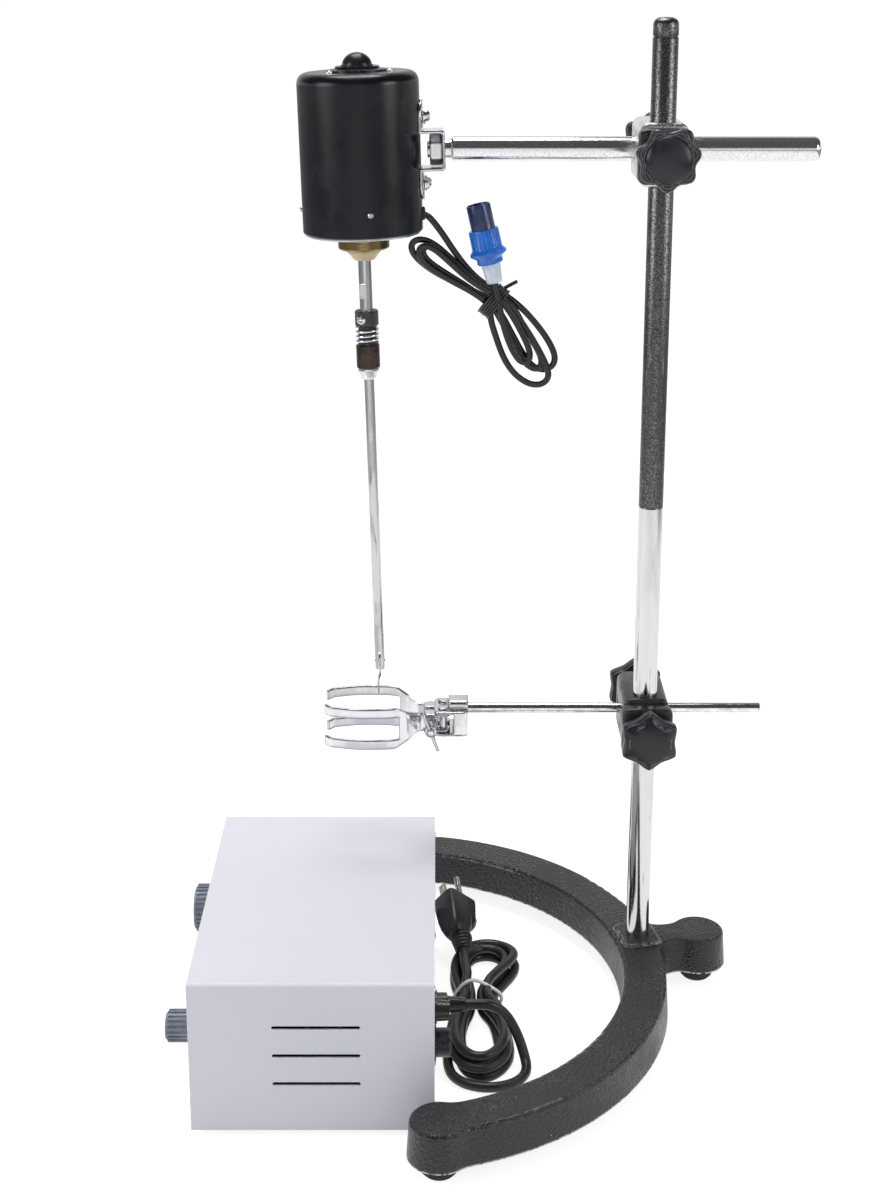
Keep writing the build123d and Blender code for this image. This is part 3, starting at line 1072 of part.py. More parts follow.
def build():
    """Every piece about the upright's axis."""
    pieces = {
        "base_casting": base_casting(), "rubber_feet": rubber_feet(), "lower_upright": lower_upright(),
        "upper_upright": upper_upright(), "foot_nut": foot_nut(),
    }
    pieces.update(boss_pieces("upper", ARM_HEIGHT, UPPER_LOBES, ARM_TIP))
    pieces.update(boss_pieces("lower", CLAMP_HEIGHT, LOWER_LOBES, CLAMP_TIP))
    pieces.update({
        "arm_rod": arm_rod(), "bracket": bracket(), "bracket_nut": bracket_nut(),
        "motor_can": motor_can(), "end_plate": end_plate(),
        "top_cover": top_cover(), "dome_cap": dome_cap(), "motor_screws": motor_screws(),
        "motor_bearings": motor_bearings(), "stator": stator(), "brush_holders": brush_holders(),
        "brass_boss": brass_boss(), "oil_seal": oil_seal(), "motor_shaft": motor_shaft(),
        "rotor_core": rotor_core(), "chuck_body": chuck_body(), "chuck_screw": chuck_screw(),
        "chuck_spring": chuck_spring(), "chuck_sleeve": chuck_sleeve(), "stirring_rod": stirring_rod(),
        "stirring_blade": stirring_blade(), "clamp_rod": clamp_rod(), "clamp_body": clamp_body(),
        "rear_jaw": jaw(1), "front_jaw": jaw(-1), "wing_screw": wing_screw(),
        "case_cover": case_cover(), "case_chassis": case_chassis(), "case_feet": case_feet(),
        "circuit_board": circuit_board(), "panel_controls": panel_controls(),
        "speed_knob": case_knob(SPEED_KNOB, SPEED_KNOB_RADIUS, 30, 8.0),
        "timer_knob": case_knob(TIMER_KNOB, TIMER_KNOB_RADIUS, 20, 14.0),
        "switch_frame": switch_frame(), "rocker": rocker(), "motor_socket": motor_socket(),
        "fuse_holder": fuse_holder(), "cable_gland": cable_gland(),
        "mains_cord": cord_tube("mains_cord", MAINS_LOOP, MAINS_RADIUS), "mains_hank": mains_hank(),
        "plug_body": plug_body(), "plug_pins": plug_pins(), "motor_lead": motor_lead(),
        "lead_hank": lead_hank(), "lead_connector": lead_connector(),
    })
    return pieces


PIECES = build()
boxes = [shape.bounding_box() for name, shape in PIECES.items() if name not in CORD_NODES]
middle_x = (min(box.min.X for box in boxes) + max(box.max.X for box in boxes)) / 2
middle_y = (min(box.min.Y for box in boxes) + max(box.max.Y for box in boxes)) / 2
SHIFT = Pos(-middle_x, -middle_y, 0)
for name, shape in PIECES.items():
    export_step(SHIFT * shape, "parts/" + name + ".step")
print("pieces", len(PIECES), "origin shift", SHIFT.position)
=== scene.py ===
"""Overhead stirrer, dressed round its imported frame.

Each sub-assembly is a class that holds its sizes in millimetres, measured from
the foot of the upright's axis, and puts its pieces where the frame has them.
"""

import logging
import math
from dataclasses import dataclass, field
from enum import Enum

import bmesh
import bpy
from mathutils import Matrix, Vector


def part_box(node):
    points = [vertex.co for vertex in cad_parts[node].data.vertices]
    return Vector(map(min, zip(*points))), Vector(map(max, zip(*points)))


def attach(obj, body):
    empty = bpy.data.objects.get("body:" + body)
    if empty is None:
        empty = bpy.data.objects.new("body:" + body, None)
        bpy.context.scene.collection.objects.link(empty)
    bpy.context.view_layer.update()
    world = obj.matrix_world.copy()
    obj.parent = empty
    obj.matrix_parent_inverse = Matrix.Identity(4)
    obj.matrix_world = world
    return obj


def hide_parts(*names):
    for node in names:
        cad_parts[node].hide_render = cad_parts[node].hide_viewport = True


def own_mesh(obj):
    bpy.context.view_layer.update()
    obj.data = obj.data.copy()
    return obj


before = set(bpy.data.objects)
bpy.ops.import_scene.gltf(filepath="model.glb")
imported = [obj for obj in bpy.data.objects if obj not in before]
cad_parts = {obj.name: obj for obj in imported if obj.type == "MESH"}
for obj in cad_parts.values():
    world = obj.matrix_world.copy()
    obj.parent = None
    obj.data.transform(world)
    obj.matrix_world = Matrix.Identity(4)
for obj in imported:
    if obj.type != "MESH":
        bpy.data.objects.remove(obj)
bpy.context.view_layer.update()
LOG = logging.getLogger("stirrer")

Point = tuple[float, float, float]
Color = tuple[float, float, float]
Turn = tuple[tuple[float, ...], tuple[float, ...]]
MM = 0.001


class Shade(Enum):
    """How the faces of a piece meet in the light."""

    SMOOTH = 180.0
    EDGED = 32.0
    FLAT = 0.0


def axis_foot() -> Vector:
    """Foot of the upright's axis in the shared frame."""
    low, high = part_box("lower_upright")
    return Vector(((low.x + high.x) / 2, (low.y + high.y) / 2, 0.0))


FOOT = axis_foot()


def at(x: float, y: float, z: float) -> Vector:
    """A place in the shared frame.

    Args:
        x: Millimetres to the right of the upright's axis.
        y: Millimetres behind it.
        z: Millimetres above the bench.

    Returns:
        The same place in metres.
    """
    return FOOT + Vector((x, y, z)) * MM


def turn(angle: float, axis: str) -> Matrix:
    """A rotation matrix.

    Args:
        angle: Degrees.
        axis: "X", "Y" or "Z".

    Returns:
        A 4 by 4 matrix.
    """
    return Matrix.Rotation(math.radians(angle), 4, axis)


def placed(origin: Point, *turns: Matrix) -> Matrix:
    """A local frame.

    Args:
        origin: Its origin in millimetres from the upright's foot.
        turns: Rotations, outermost first.

    Returns:
        The frame as a matrix whose local units are metres.
    """
    out = Matrix.Translation(at(*origin))
    for one in turns:
        out = out @ one
    return out


ARM_LEFT = -139.0
ARM_DEPTH = 30.0
ARM_HEIGHT = 614.0
MOTOR_REACH = 61.4
MOTOR_LEAN = -1.6
MOTOR = placed((ARM_LEFT, ARM_DEPTH, ARM_HEIGHT), turn(MOTOR_LEAN, "Y")) @ Matrix.Translation(
    Vector((-MOTOR_REACH, 0, 0)) * MM)


# ------------------------------------------------------------------ finishes
class Graph:
    """A short way to add and join nodes in one tree."""

    def __init__(self, tree: bpy.types.NodeTree) -> None:
        """Work in one tree."""
        self.tree = tree

    def node(self, kind: str, settings: dict | None = None, **sockets: object) -> bpy.types.Node:
        """Add a node.

        Args:
            kind: Blender's name for the node.
            settings: Attributes of the node.
            sockets: Inputs by name, with _ for a space; a value or a socket.

        Returns:
            The new node.
        """
        made = self.tree.nodes.new(kind)
        for key, value in (settings or {}).items():
            setattr(made, key, value)
        for key, value in sockets.items():
            self.feed(made.inputs[key.replace("_", " ")], value)
        return made

    def feed(self, target: bpy.types.NodeSocket, value: object) -> None:
        """Join a socket to an input, or set the input's own value.

        Args:
            target: The input.
            value: A socket, number, or colour.
        """
        if isinstance(value, bpy.types.NodeSocket):
            self.tree.links.new(value, target)
        elif isinstance(value, tuple) and len(value) == 3 and target.type == "RGBA":
            target.default_value = (*value, 1.0)
        else:
            target.default_value = value

    def math(self, operation: str, a: object, b: object = 0.0) -> bpy.types.NodeSocket:
        """One sum.

        Args:
            operation: Blender's name for it.
            a: First value or socket.
            b: Second value or socket.

        Returns:
            The result.
        """
        made = self.node("ShaderNodeMath", {"operation": operation})
        self.feed(made.inputs[0], a)
        self.feed(made.inputs[1], b)
        return made.outputs[0]

    def remap(self, value: object, low: object, high: object, start: object = 0.0,
              end: object = 1.0) -> bpy.types.NodeSocket:
        """Stretch a value from one range to another, and clamp it.

        Args:
            value: The value.
            low: Value that becomes start.
            high: Value that becomes end.
            start: First result.
            end: Last result.

        Returns:
            The result.
        """
        made = self.node("ShaderNodeMapRange", {"interpolation_type": "SMOOTHSTEP"}, Value=value, From_Min=low,
                         From_Max=high, To_Min=start, To_Max=end)
        return made.outputs[0]

    def mix(self, share: object, first: object, second: object) -> bpy.types.NodeSocket:
        """Mix two colours.

        Args:
            share: How much of the second.
            first: A colour.
            second: A colour.

        Returns:
            The mixed colour.
        """
        made = self.node("ShaderNodeMix", {"data_type": "RGBA"})
        for index, value in ((0, share), (6, first), (7, second)):
            self.feed(made.inputs[index], value)
        return made.outputs[2]

    def mirrored(self, path: bpy.types.Node) -> bpy.types.NodeSocket:
        """1 for a Light Path node's glossy and transmitted rays."""
        return self.math("MAXIMUM", path.outputs["Is Glossy Ray"], path.outputs["Is Transmission Ray"])

    def blend(self, share: object, first: bpy.types.Node, second: bpy.types.Node) -> bpy.types.Node:
        """Mix two shaders.

        Args:
            share: How much of the second.
            first: A shader node.
            second: A shader node.

        Returns:
            The node that mixes them.
        """
        made = self.node("ShaderNodeMixShader", None, Fac=share)
        self.feed(made.inputs[1], first.outputs[0])
        self.feed(made.inputs[2], second.outputs[0])
        return made

    def group(self, tree: bpy.types.NodeTree, **sockets: object) -> bpy.types.NodeSocket:
        """Place a shared effect.

        Args:
            tree: The node group.
            sockets: Its inputs by name.

        Returns:
            Its first output.
        """
        made = self.node("ShaderNodeGroup", {"node_tree": tree})
        for key, value in sockets.items():
            self.feed(made.inputs[key.replace("_", " ")], value)
        return made.outputs[0]


class Effects:
    """Shader effects that the finishes share, each a node group built once."""

    def __init__(self) -> None:
        """Build every effect."""
        self.patches = self._patches()
        self.edge_wear_and_light = self._edge_wear_and_light()
        self.specks = self._specks()
        self.grain = self._grain()
        self.knurl = self._knurl()
        self.streaks = self._streaks()

    @staticmethod
    def _begin(name: str, inputs: dict[str, float | Color], output: str) -> tuple[Graph, dict, object]:
        """Start a group.

        Args:
            name: Its name.
            inputs: Input names with their defaults; Vector has None.
            output: Name of its only output.

        Returns:
            The graph, its input sockets by name, and its output socket.
        """
        tree = bpy.data.node_groups.new(name, "ShaderNodeTree")
        for key, value in inputs.items():
            kind = "NodeSocketVector" if key == "Vector" else "NodeSocketFloat"
            socket = tree.interface.new_socket(name=key, in_out="INPUT", socket_type=kind)
            if key != "Vector":
                socket.default_value = value
        tree.interface.new_socket(name=output, in_out="OUTPUT", socket_type="NodeSocketFloat")
        graph = Graph(tree)
        start = graph.node("NodeGroupInput")
        end = graph.node("NodeGroupOutput")
        return graph, {key: start.outputs[key] for key in inputs}, end.inputs[output]

    def _patches(self) -> bpy.types.NodeTree:
        """Soft uneven patches."""
        g, i, out = self._begin("Patches", {"Vector": 0, "Scale": 10.0, "Low": 0.4, "High": 0.65}, "Mask")
        noise = g.node("ShaderNodeTexNoise", None, Vector=i["Vector"], Scale=i["Scale"], Detail=4.0, Roughness=0.6)
        g.feed(out, g.remap(noise.outputs["Fac"], i["Low"], i["High"]))
        return g.tree

    def _edge_wear_and_light(self) -> bpy.types.NodeTree:
        """Edge colour where a rounded normal leaves the true one, broken up by noise: rubbed wear on most finishes,
        painted edge shade on jaw_zinc and a painted highlight on knob_black.
        """
        g, i, out = self._begin("EdgeWearAndLight", {"Vector": 0, "Radius": 0.001, "Scale": 300.0, "Amount": 0.5}, "Mask")
        bevel = g.node("ShaderNodeBevel", {"samples": 6}, Radius=i["Radius"])
        true = g.node("ShaderNodeNewGeometry")
        dot = g.node("ShaderNodeVectorMath", {"operation": "DOT_PRODUCT"})
        g.feed(dot.inputs[0], bevel.outputs[0])
        g.feed(dot.inputs[1], true.outputs["Normal"])
        edge = g.remap(dot.outputs["Value"], 0.995, 0.90)
        noise = g.node("ShaderNodeTexNoise", None, Vector=i["Vector"], Scale=i["Scale"], Detail=3.0, Roughness=0.65)
        broken = g.remap(g.math("SUBTRACT", noise.outputs["Fac"], g.math("SUBTRACT", 1.0, i["Amount"])), -0.08, 0.08)
        g.feed(out, g.math("MULTIPLY", edge, broken))
        return g.tree

    def _specks(self) -> bpy.types.NodeTree:
        """Small round spots of uneven size."""
        g, i, out = self._begin("Specks", {"Vector": 0, "Scale": 200.0, "Size": 0.2}, "Mask")
        cells = g.node("ShaderNodeTexVoronoi", None, Vector=i["Vector"], Scale=i["Scale"], Randomness=1.0)
        pick = g.node("ShaderNodeSeparateColor", None, Color=cells.outputs["Color"])
        size = g.math("MULTIPLY", i["Size"], pick.outputs[0])
        g.feed(out, g.remap(cells.outputs["Distance"], size, g.math("MULTIPLY", size, 0.55)))
        return g.tree

    def _grain(self) -> bpy.types.NodeTree:
        """Fine height of a cast, moulded or painted skin."""
        g, i, out = self._begin("Grain", {"Vector": 0, "Scale": 600.0, "Detail": 3.0}, "Height")
        noise = g.node("ShaderNodeTexNoise", None, Vector=i["Vector"], Scale=i["Scale"], Detail=i["Detail"],
                       Roughness=0.55)
        g.feed(out, noise.outputs["Fac"])
        return g.tree

    def _knurl(self) -> bpy.types.NodeTree:
        """Crossed grooves round the motor's axis."""
        g, i, out = self._begin("Knurl", {"Vector": 0, "Count": 40.0, "Pitch": 3000.0}, "Height")
        local = g.node("ShaderNodeMapping", {"vector_type": "TEXTURE"}, Vector=i["Vector"])
        local.inputs["Location"].default_value = MOTOR.translation
        local.inputs["Rotation"].default_value = (0.0, math.radians(MOTOR_LEAN), 0.0)
        part = g.node("ShaderNodeSeparateXYZ", None, Vector=local.outputs[0])
        around = g.math("MULTIPLY", g.math("ARCTAN2", part.outputs["Y"], part.outputs["X"]), i["Count"])
        along = g.math("MULTIPLY", part.outputs["Z"], i["Pitch"])
        one = g.math("ABSOLUTE", g.math("SINE", g.math("ADD", around, along)))
        two = g.math("ABSOLUTE", g.math("SINE", g.math("SUBTRACT", around, along)))
        g.feed(out, g.math("MINIMUM", one, two))
        return g.tree

    def _streaks(self) -> bpy.types.NodeTree:
        """Thin drawn scratches; the vector is already stretched along them."""
        g, i, out = self._begin("Streaks", {"Vector": 0, "Scale": 400.0, "Sparse": 0.62}, "Mask")
        noise = g.node("ShaderNodeTexNoise", None, Vector=i["Vector"], Scale=i["Scale"], Detail=2.0, Roughness=0.5)
        g.feed(out, g.remap(noise.outputs["Fac"], i["Sparse"], g.math("ADD", i["Sparse"], 0.05)))
        return g.tree


@dataclass(frozen=True)
class Finish:
    """One finish; lengths in metres, scales per metre."""

    name: str
    color: Color
    tint: Color | None = None
    patch_scale: float = 30.0
    patch_low: float = 0.42
    patch_high: float = 0.66
    metallic: float = 0.0
    roughness: float = 0.5
    spread: float = 0.08
    grain_scale: float = 900.0
    grain_depth: float = 0.00004
    grain_detail: float = 3.0
    stretch: Color = (1.0, 1.0, 1.0)
    # Edge colour: rubbed wear on most finishes; painted edge shade on jaw_zinc and a painted rim highlight on
    # knob_black.
    edge_wear_and_light_tone: Color | None = None
    edge_metal: float = 1.0
    edge_radius: float = 0.0009
    edge_scale: float = 260.0
    edge_amount: float = 0.5
    speck: Color | None = None
    speck_scale: float = 220.0
    speck_size: float = 0.2
    scratch: Color | None = None
    scratch_stretch: Color = (1.0, 1.0, 1.0)
    scratch_sparse: float = 0.62
    knurl_count: float = 0.0
    knurl_pitch: float = 0.0
    coat: float = 0.0
    coat_roughness: float = 0.1
    specular: float = 0.5
    ior: float = 1.5
    soft_edges: float = 0.0

    def build(self, effects: Effects) -> bpy.types.Material:
        """Make the material.

        Args:
            effects: The shared node groups.

        Returns:
            The material.
        """
        material = bpy.data.materials.new(self.name)
        material.use_nodes = True
        g = Graph(material.node_tree)
        g.tree.nodes.clear()
        place = g.node("ShaderNodeTexCoord").outputs["Object"]
        flow = g.node("ShaderNodeMapping", None, Vector=place, Scale=self.stretch).outputs[0]
        patch = g.group(effects.patches, Vector=flow, Scale=self.patch_scale, Low=self.patch_low, High=self.patch_high)
        color = g.mix(patch, self.color, self.tint or tuple(c * 0.8 for c in self.color))
        fine = g.group(effects.grain, Vector=flow, Scale=self.grain_scale, Detail=self.grain_detail)
        height = fine
        rough = g.remap(g.math("ADD", g.math("MULTIPLY", patch, 0.6), g.math("MULTIPLY", fine, 0.4)), 0.1, 0.8,
                        self.roughness - self.spread, self.roughness + self.spread)
        metal: object = self.metallic
        if self.scratch:
            drawn = g.node("ShaderNodeMapping", None, Vector=place, Scale=self.scratch_stretch).outputs[0]
            lines = g.group(effects.streaks, Vector=drawn, Scale=500.0, Sparse=self.scratch_sparse)
            color = g.mix(lines, color, self.scratch)
            rough = g.math("ADD", rough, g.math("MULTIPLY", lines, 0.15))
        if self.speck:
            spots = g.group(effects.specks, Vector=place, Scale=self.speck_scale, Size=self.speck_size)
            color = g.mix(spots, color, self.speck)
            rough = g.math("ADD", rough, g.math("MULTIPLY", spots, 0.2))
        # Edge colour over the edge mask: real wear, and painted edge shade and highlight where a finish asks for it.
        if self.edge_wear_and_light_tone:
            edge_wear_and_light_mask = g.group(effects.edge_wear_and_light, Vector=place, Radius=self.edge_radius, Scale=self.edge_scale,
                             Amount=self.edge_amount)
            color = g.mix(edge_wear_and_light_mask, color, self.edge_wear_and_light_tone)
            if self.edge_metal != self.metallic:
                metal = g.remap(edge_wear_and_light_mask, 0.0, 1.0, self.metallic, self.edge_metal)
        if self.knurl_count:
            cuts = g.group(effects.knurl, Vector=place, Count=self.knurl_count, Pitch=self.knurl_pitch)
            height = g.math("ADD", g.math("MULTIPLY", fine, 0.3), g.math("MULTIPLY", cuts, 2.0))
            color = g.mix(g.remap(cuts, 0.45, 0.9), color, tuple(min(1.0, c * 3.5 + 0.02) for c in self.color))
        bump = g.node("ShaderNodeBump", None, Height=height, Distance=self.grain_depth)
        if self.soft_edges:
            g.feed(bump.inputs["Normal"], g.node("ShaderNodeBevel", {"samples": 8}, Radius=self.soft_edges).outputs[0])
        shader = g.node("ShaderNodeBsdfPrincipled", None, Base_Color=color, Roughness=rough, Metallic=metal,
                        Normal=bump.outputs[0], Coat_Weight=self.coat, Coat_Roughness=self.coat_roughness,
                        Specular_IOR_Level=self.specular, IOR=self.ior)
        end = g.node("ShaderNodeOutputMaterial")
        g.feed(end.inputs["Surface"], shader.outputs[0])
        return material


FINISHES = [
    Finish("crinkle_black", (0.006, 0.006, 0.0075), (0.014, 0.014, 0.017), 16.0, roughness=0.31, spread=0.12,
           grain_scale=470.0, grain_depth=0.0011, grain_detail=2.0, edge_wear_and_light_tone=(0.66, 0.65, 0.64), edge_radius=0.0024,
           edge_scale=240.0, edge_amount=0.56, speck=(0.5, 0.49, 0.48), speck_scale=190.0, speck_size=0.1),
    Finish("foot_rubber", (0.02, 0.02, 0.021), (0.04, 0.04, 0.04), roughness=0.8, grain_depth=0.00008),
    Finish("plated_rod", (0.66, 0.66, 0.67), (0.56, 0.56, 0.57), 45.0, metallic=1.0, roughness=0.16, spread=0.06,
           grain_scale=500.0, grain_depth=0.000004, stretch=(1.0, 1.0, 0.2), scratch=(0.45, 0.44, 0.43),
           scratch_stretch=(0.6, 0.6, 0.05), scratch_sparse=0.66),
    Finish("tired_rod", (0.14, 0.135, 0.14), (0.05, 0.046, 0.05), 700.0, metallic=0.9, roughness=0.3, spread=0.1,
           grain_scale=1500.0, grain_depth=0.00012, speck=(0.6, 0.59, 0.58), speck_scale=900.0, speck_size=0.28,
           scratch=(0.22, 0.2, 0.2), scratch_stretch=(1.4, 1.4, 0.1), scratch_sparse=0.66),
    Finish("arm_steel", (0.8, 0.8, 0.82), (0.6, 0.6, 0.62), 900.0, patch_low=0.5, patch_high=0.62, metallic=0.95,
           roughness=0.14, spread=0.04, grain_scale=1700.0, grain_depth=0.00004, speck=(0.3, 0.3, 0.3),
           speck_scale=700.0, speck_size=0.2),
    Finish("stir_steel", (0.6, 0.6, 0.6), (0.42, 0.42, 0.42), 80.0, metallic=1.0, roughness=0.24, spread=0.08,
           grain_depth=0.000006, stretch=(1.0, 1.0, 0.25), scratch=(0.3, 0.3, 0.3),
           scratch_stretch=(1.0, 1.0, 0.08), scratch_sparse=0.62),
    Finish("zinc_plate", (0.68, 0.69, 0.70), (0.52, 0.52, 0.53), 60.0, metallic=1.0, roughness=0.3, spread=0.08,
           grain_scale=800.0, grain_depth=0.00001, speck=(0.32, 0.31, 0.3), speck_scale=300.0, speck_size=0.16,
           edge_wear_and_light_tone=(0.8, 0.8, 0.8), edge_radius=0.0005, edge_amount=0.55),
    Finish("raw_casting", (0.72, 0.72, 0.72), (0.5, 0.5, 0.49), 70.0, metallic=0.9, roughness=0.34, spread=0.12,
           grain_scale=420.0, grain_depth=0.0004, edge_wear_and_light_tone=(0.9, 0.9, 0.9), edge_radius=0.001, edge_scale=150.0,
           edge_amount=0.6, speck=(0.1, 0.1, 0.1), speck_scale=260.0, speck_size=0.2),
    Finish("grey_casting", (0.016, 0.017, 0.019), (0.03, 0.031, 0.034), 60.0, roughness=0.36, spread=0.1,
           grain_scale=420.0, grain_depth=0.0003, edge_wear_and_light_tone=(0.4, 0.4, 0.4), edge_radius=0.0009, edge_scale=210.0,
           edge_amount=0.44, speck=(0.25, 0.25, 0.25), speck_scale=260.0, speck_size=0.12),
    # knob_black's light edge colour is a painted highlight along the rims of the knob lobes.
    Finish("knob_black", (0.012, 0.012, 0.017), (0.02, 0.02, 0.027), 50.0, roughness=0.36, spread=0.08,
           grain_scale=700.0, grain_depth=0.00003, edge_wear_and_light_tone=(0.36, 0.36, 0.37), edge_metal=0.0, edge_radius=0.0008,
           edge_amount=0.62, specular=0.4),
    Finish("gloss_enamel", (0.0035, 0.004, 0.0075), (0.0055, 0.0065, 0.0105), 26.0, roughness=0.3, spread=0.05,
           grain_scale=260.0, grain_depth=0.00001, edge_wear_and_light_tone=(0.5, 0.5, 0.5), edge_radius=0.0006, edge_scale=320.0,
           edge_amount=0.36, speck=(0.3, 0.29, 0.27), speck_scale=95.0, speck_size=0.05, specular=0.32),
    Finish("cap_black", (0.009, 0.009, 0.01), (0.014, 0.014, 0.015), 60.0, roughness=0.3, spread=0.06,
           grain_depth=0.00001, specular=0.3),
    Finish("turned_steel", (0.5, 0.5, 0.5), (0.36, 0.36, 0.36), 90.0, metallic=1.0, roughness=0.28, spread=0.08,
           grain_scale=900.0, grain_depth=0.00001, stretch=(1.0, 1.0, 6.0)),
    Finish("black_oxide", (0.028, 0.028, 0.03), (0.05, 0.05, 0.05), 90.0, metallic=0.6, roughness=0.38,
           grain_depth=0.00012, edge_wear_and_light_tone=(0.45, 0.45, 0.45), edge_radius=0.0004, edge_amount=0.45, knurl_count=22.0,
           knurl_pitch=2600.0),
    Finish("passivated", (0.30, 0.21, 0.09), (0.14, 0.1, 0.05), 160.0, metallic=1.0, roughness=0.26,
           grain_depth=0.00001, stretch=(1.0, 1.0, 5.0), edge_wear_and_light_tone=(0.75, 0.66, 0.45), edge_radius=0.0006, edge_amount=0.6),
    Finish("seal_cream", (0.56, 0.45, 0.27), (0.4, 0.31, 0.17), 80.0, roughness=0.45, grain_depth=0.00003),
    Finish("winding_copper", (0.5, 0.2, 0.07), (0.4, 0.15, 0.05), 90.0, metallic=0.8, roughness=0.35),
    Finish("lamination", (0.3, 0.3, 0.31), (0.2, 0.2, 0.2), 90.0, metallic=1.0, roughness=0.45,
           grain_scale=1500.0, stretch=(0.2, 0.2, 3.0), grain_depth=0.0001),
    Finish("case_coat", (0.655, 0.655, 0.725), (0.64, 0.64, 0.71), 6.0, roughness=0.42, spread=0.03,
           grain_scale=1400.0, grain_depth=0.00003, edge_wear_and_light_tone=(0.85, 0.85, 0.88), edge_metal=0.0, edge_radius=0.001,
           edge_amount=0.5, speck=(0.45, 0.44, 0.44), speck_scale=60.0, speck_size=0.025),
    Finish("panel_satin", (0.68, 0.675, 0.72), (0.65, 0.645, 0.69), 8.0, roughness=0.38, spread=0.04,
           grain_scale=1600.0, grain_depth=0.00002, edge_wear_and_light_tone=(0.8, 0.8, 0.82), edge_metal=0.0, edge_radius=0.0006),
    # jaw_zinc's dark edge colour is painted shade on the rounded edges of the clamp, bracket and nut.
    Finish("jaw_zinc", (0.74, 0.745, 0.76), (0.66, 0.665, 0.68), 40.0, metallic=1.0, roughness=0.2, spread=0.05,
           grain_scale=700.0, grain_depth=0.000006, edge_wear_and_light_tone=(0.13, 0.13, 0.17), edge_radius=0.0012, edge_scale=120.0,
           edge_amount=0.6, speck=(0.4, 0.39, 0.38), speck_scale=300.0, speck_size=0.07, soft_edges=0.0026),
    Finish("sleeve_brown", (0.035, 0.022, 0.016), (0.06, 0.04, 0.028), 120.0, metallic=0.5, roughness=0.34,
           grain_depth=0.00006, edge_wear_and_light_tone=(0.4, 0.36, 0.32), edge_radius=0.0004, edge_amount=0.45),
    Finish("knurled_black", (0.02, 0.02, 0.022), (0.04, 0.04, 0.042), 120.0, roughness=0.3, grain_scale=1500.0,
           grain_depth=0.0002, edge_wear_and_light_tone=(0.4, 0.4, 0.4), edge_metal=0.0, edge_radius=0.0004, edge_amount=0.45),
    Finish("bright_steel", (0.8, 0.8, 0.81), (0.6, 0.6, 0.6), 120.0, metallic=1.0, roughness=0.18, spread=0.05,
           grain_depth=0.000006),
    Finish("dial_grey", (0.2, 0.23, 0.28), (0.16, 0.18, 0.22), 50.0, roughness=0.42, grain_depth=0.00004,
           edge_wear_and_light_tone=(0.42, 0.45, 0.5), edge_metal=0.0, edge_radius=0.0005, edge_amount=0.45),
    Finish("board_green", (0.03, 0.14, 0.06), (0.02, 0.1, 0.05), 80.0, roughness=0.4),
    Finish("switch_black", (0.014, 0.014, 0.015), (0.022, 0.022, 0.023), 90.0, roughness=0.32, coat=0.2),
    Finish("sheath_black", (0.017, 0.017, 0.018), (0.03, 0.03, 0.031), 40.0, roughness=0.4, spread=0.08,
           grain_scale=1300.0, grain_depth=0.00003),
    Finish("lead_black", (0.004, 0.004, 0.0045), (0.008, 0.008, 0.009), 60.0, roughness=0.13, spread=0.04,
           grain_scale=1300.0, grain_depth=0.00001, specular=0.5),
    Finish("tie_white", (0.8, 0.8, 0.79), (0.7, 0.7, 0.68), 60.0, roughness=0.5, grain_depth=0.00005),
    Finish("shell_navy", (0.01, 0.03, 0.12), (0.008, 0.018, 0.08), 80.0, roughness=0.28, coat=0.2),
    Finish("collar_blue", (0.012, 0.15, 0.62), (0.01, 0.1, 0.48), 80.0, roughness=0.26, spread=0.06, coat=0.4,
           edge_wear_and_light_tone=(0.1, 0.35, 0.8), edge_metal=0.0, edge_radius=0.0004),
    Finish("sleeve_pale", (0.66, 0.72, 0.8), (0.5, 0.58, 0.7), 120.0, roughness=0.3),
    Finish("mark_dark", (0.03, 0.03, 0.035), None, 90.0, roughness=0.5, grain_depth=0.00001),
]


class Paintbox:
    """Every finish's material, made once."""

    def __init__(self) -> None:
        """Build the shared effects and all materials."""
        effects = Effects()
        self.made = {finish.name: finish.build(effects) for finish in FINISHES}

    def coat(self, piece: bpy.types.Object, name: str) -> bpy.types.Object:
        """Give a piece one finish.

        Args:
            piece: Any mesh or curve.
            name: The finish.

        Returns:
            The piece.
        """
        piece.data.materials.clear()
        piece.data.materials.append(self.made[name])
        return piece

    def nodes(self, finishes: dict[str, str]) -> None:
        """Finish the frame's own nodes.

        Args:
            finishes: Finish name by node name.
        """
        for node, name in finishes.items():
            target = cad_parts[node]
            if not target.material_slots:
                target.data.materials.append(self.made[name])
            for spot in target.material_slots:
                spot.link = "OBJECT"
                spot.material = self.made[name]
            LOG.info("node %s: %s", node, name)


# ------------------------------------------------------------------ shapes
def angles(sides: int) -> list[float]:
    """Even steps round a circle, in radians."""
    return [2 * math.pi * k / sides for k in range(sides)]


def mesh_piece(name: str, mesh: bmesh.types.BMesh, shade: Shade = Shade.EDGED) -> bpy.types.Object:
    """Turn finished mesh work into a piece in the scene.

    Args:
        name: Name of the piece.
        mesh: The mesh work, freed here.
        shade: How its faces meet.

    Returns:
        The piece.
    """
    bmesh.ops.remove_doubles(mesh, verts=mesh.verts, dist=1e-7)
    bmesh.ops.recalc_face_normals(mesh, faces=mesh.faces)
    data = bpy.data.meshes.new(name)
    mesh.to_mesh(data)
    mesh.free()
    for polygon in data.polygons:
        polygon.use_smooth = shade is not Shade.FLAT
    if shade is Shade.EDGED:
        data.set_sharp_from_angle(angle=math.radians(shade.value))
    piece = bpy.data.objects.new(name, data)
    bpy.context.scene.collection.objects.link(piece)
    return piece


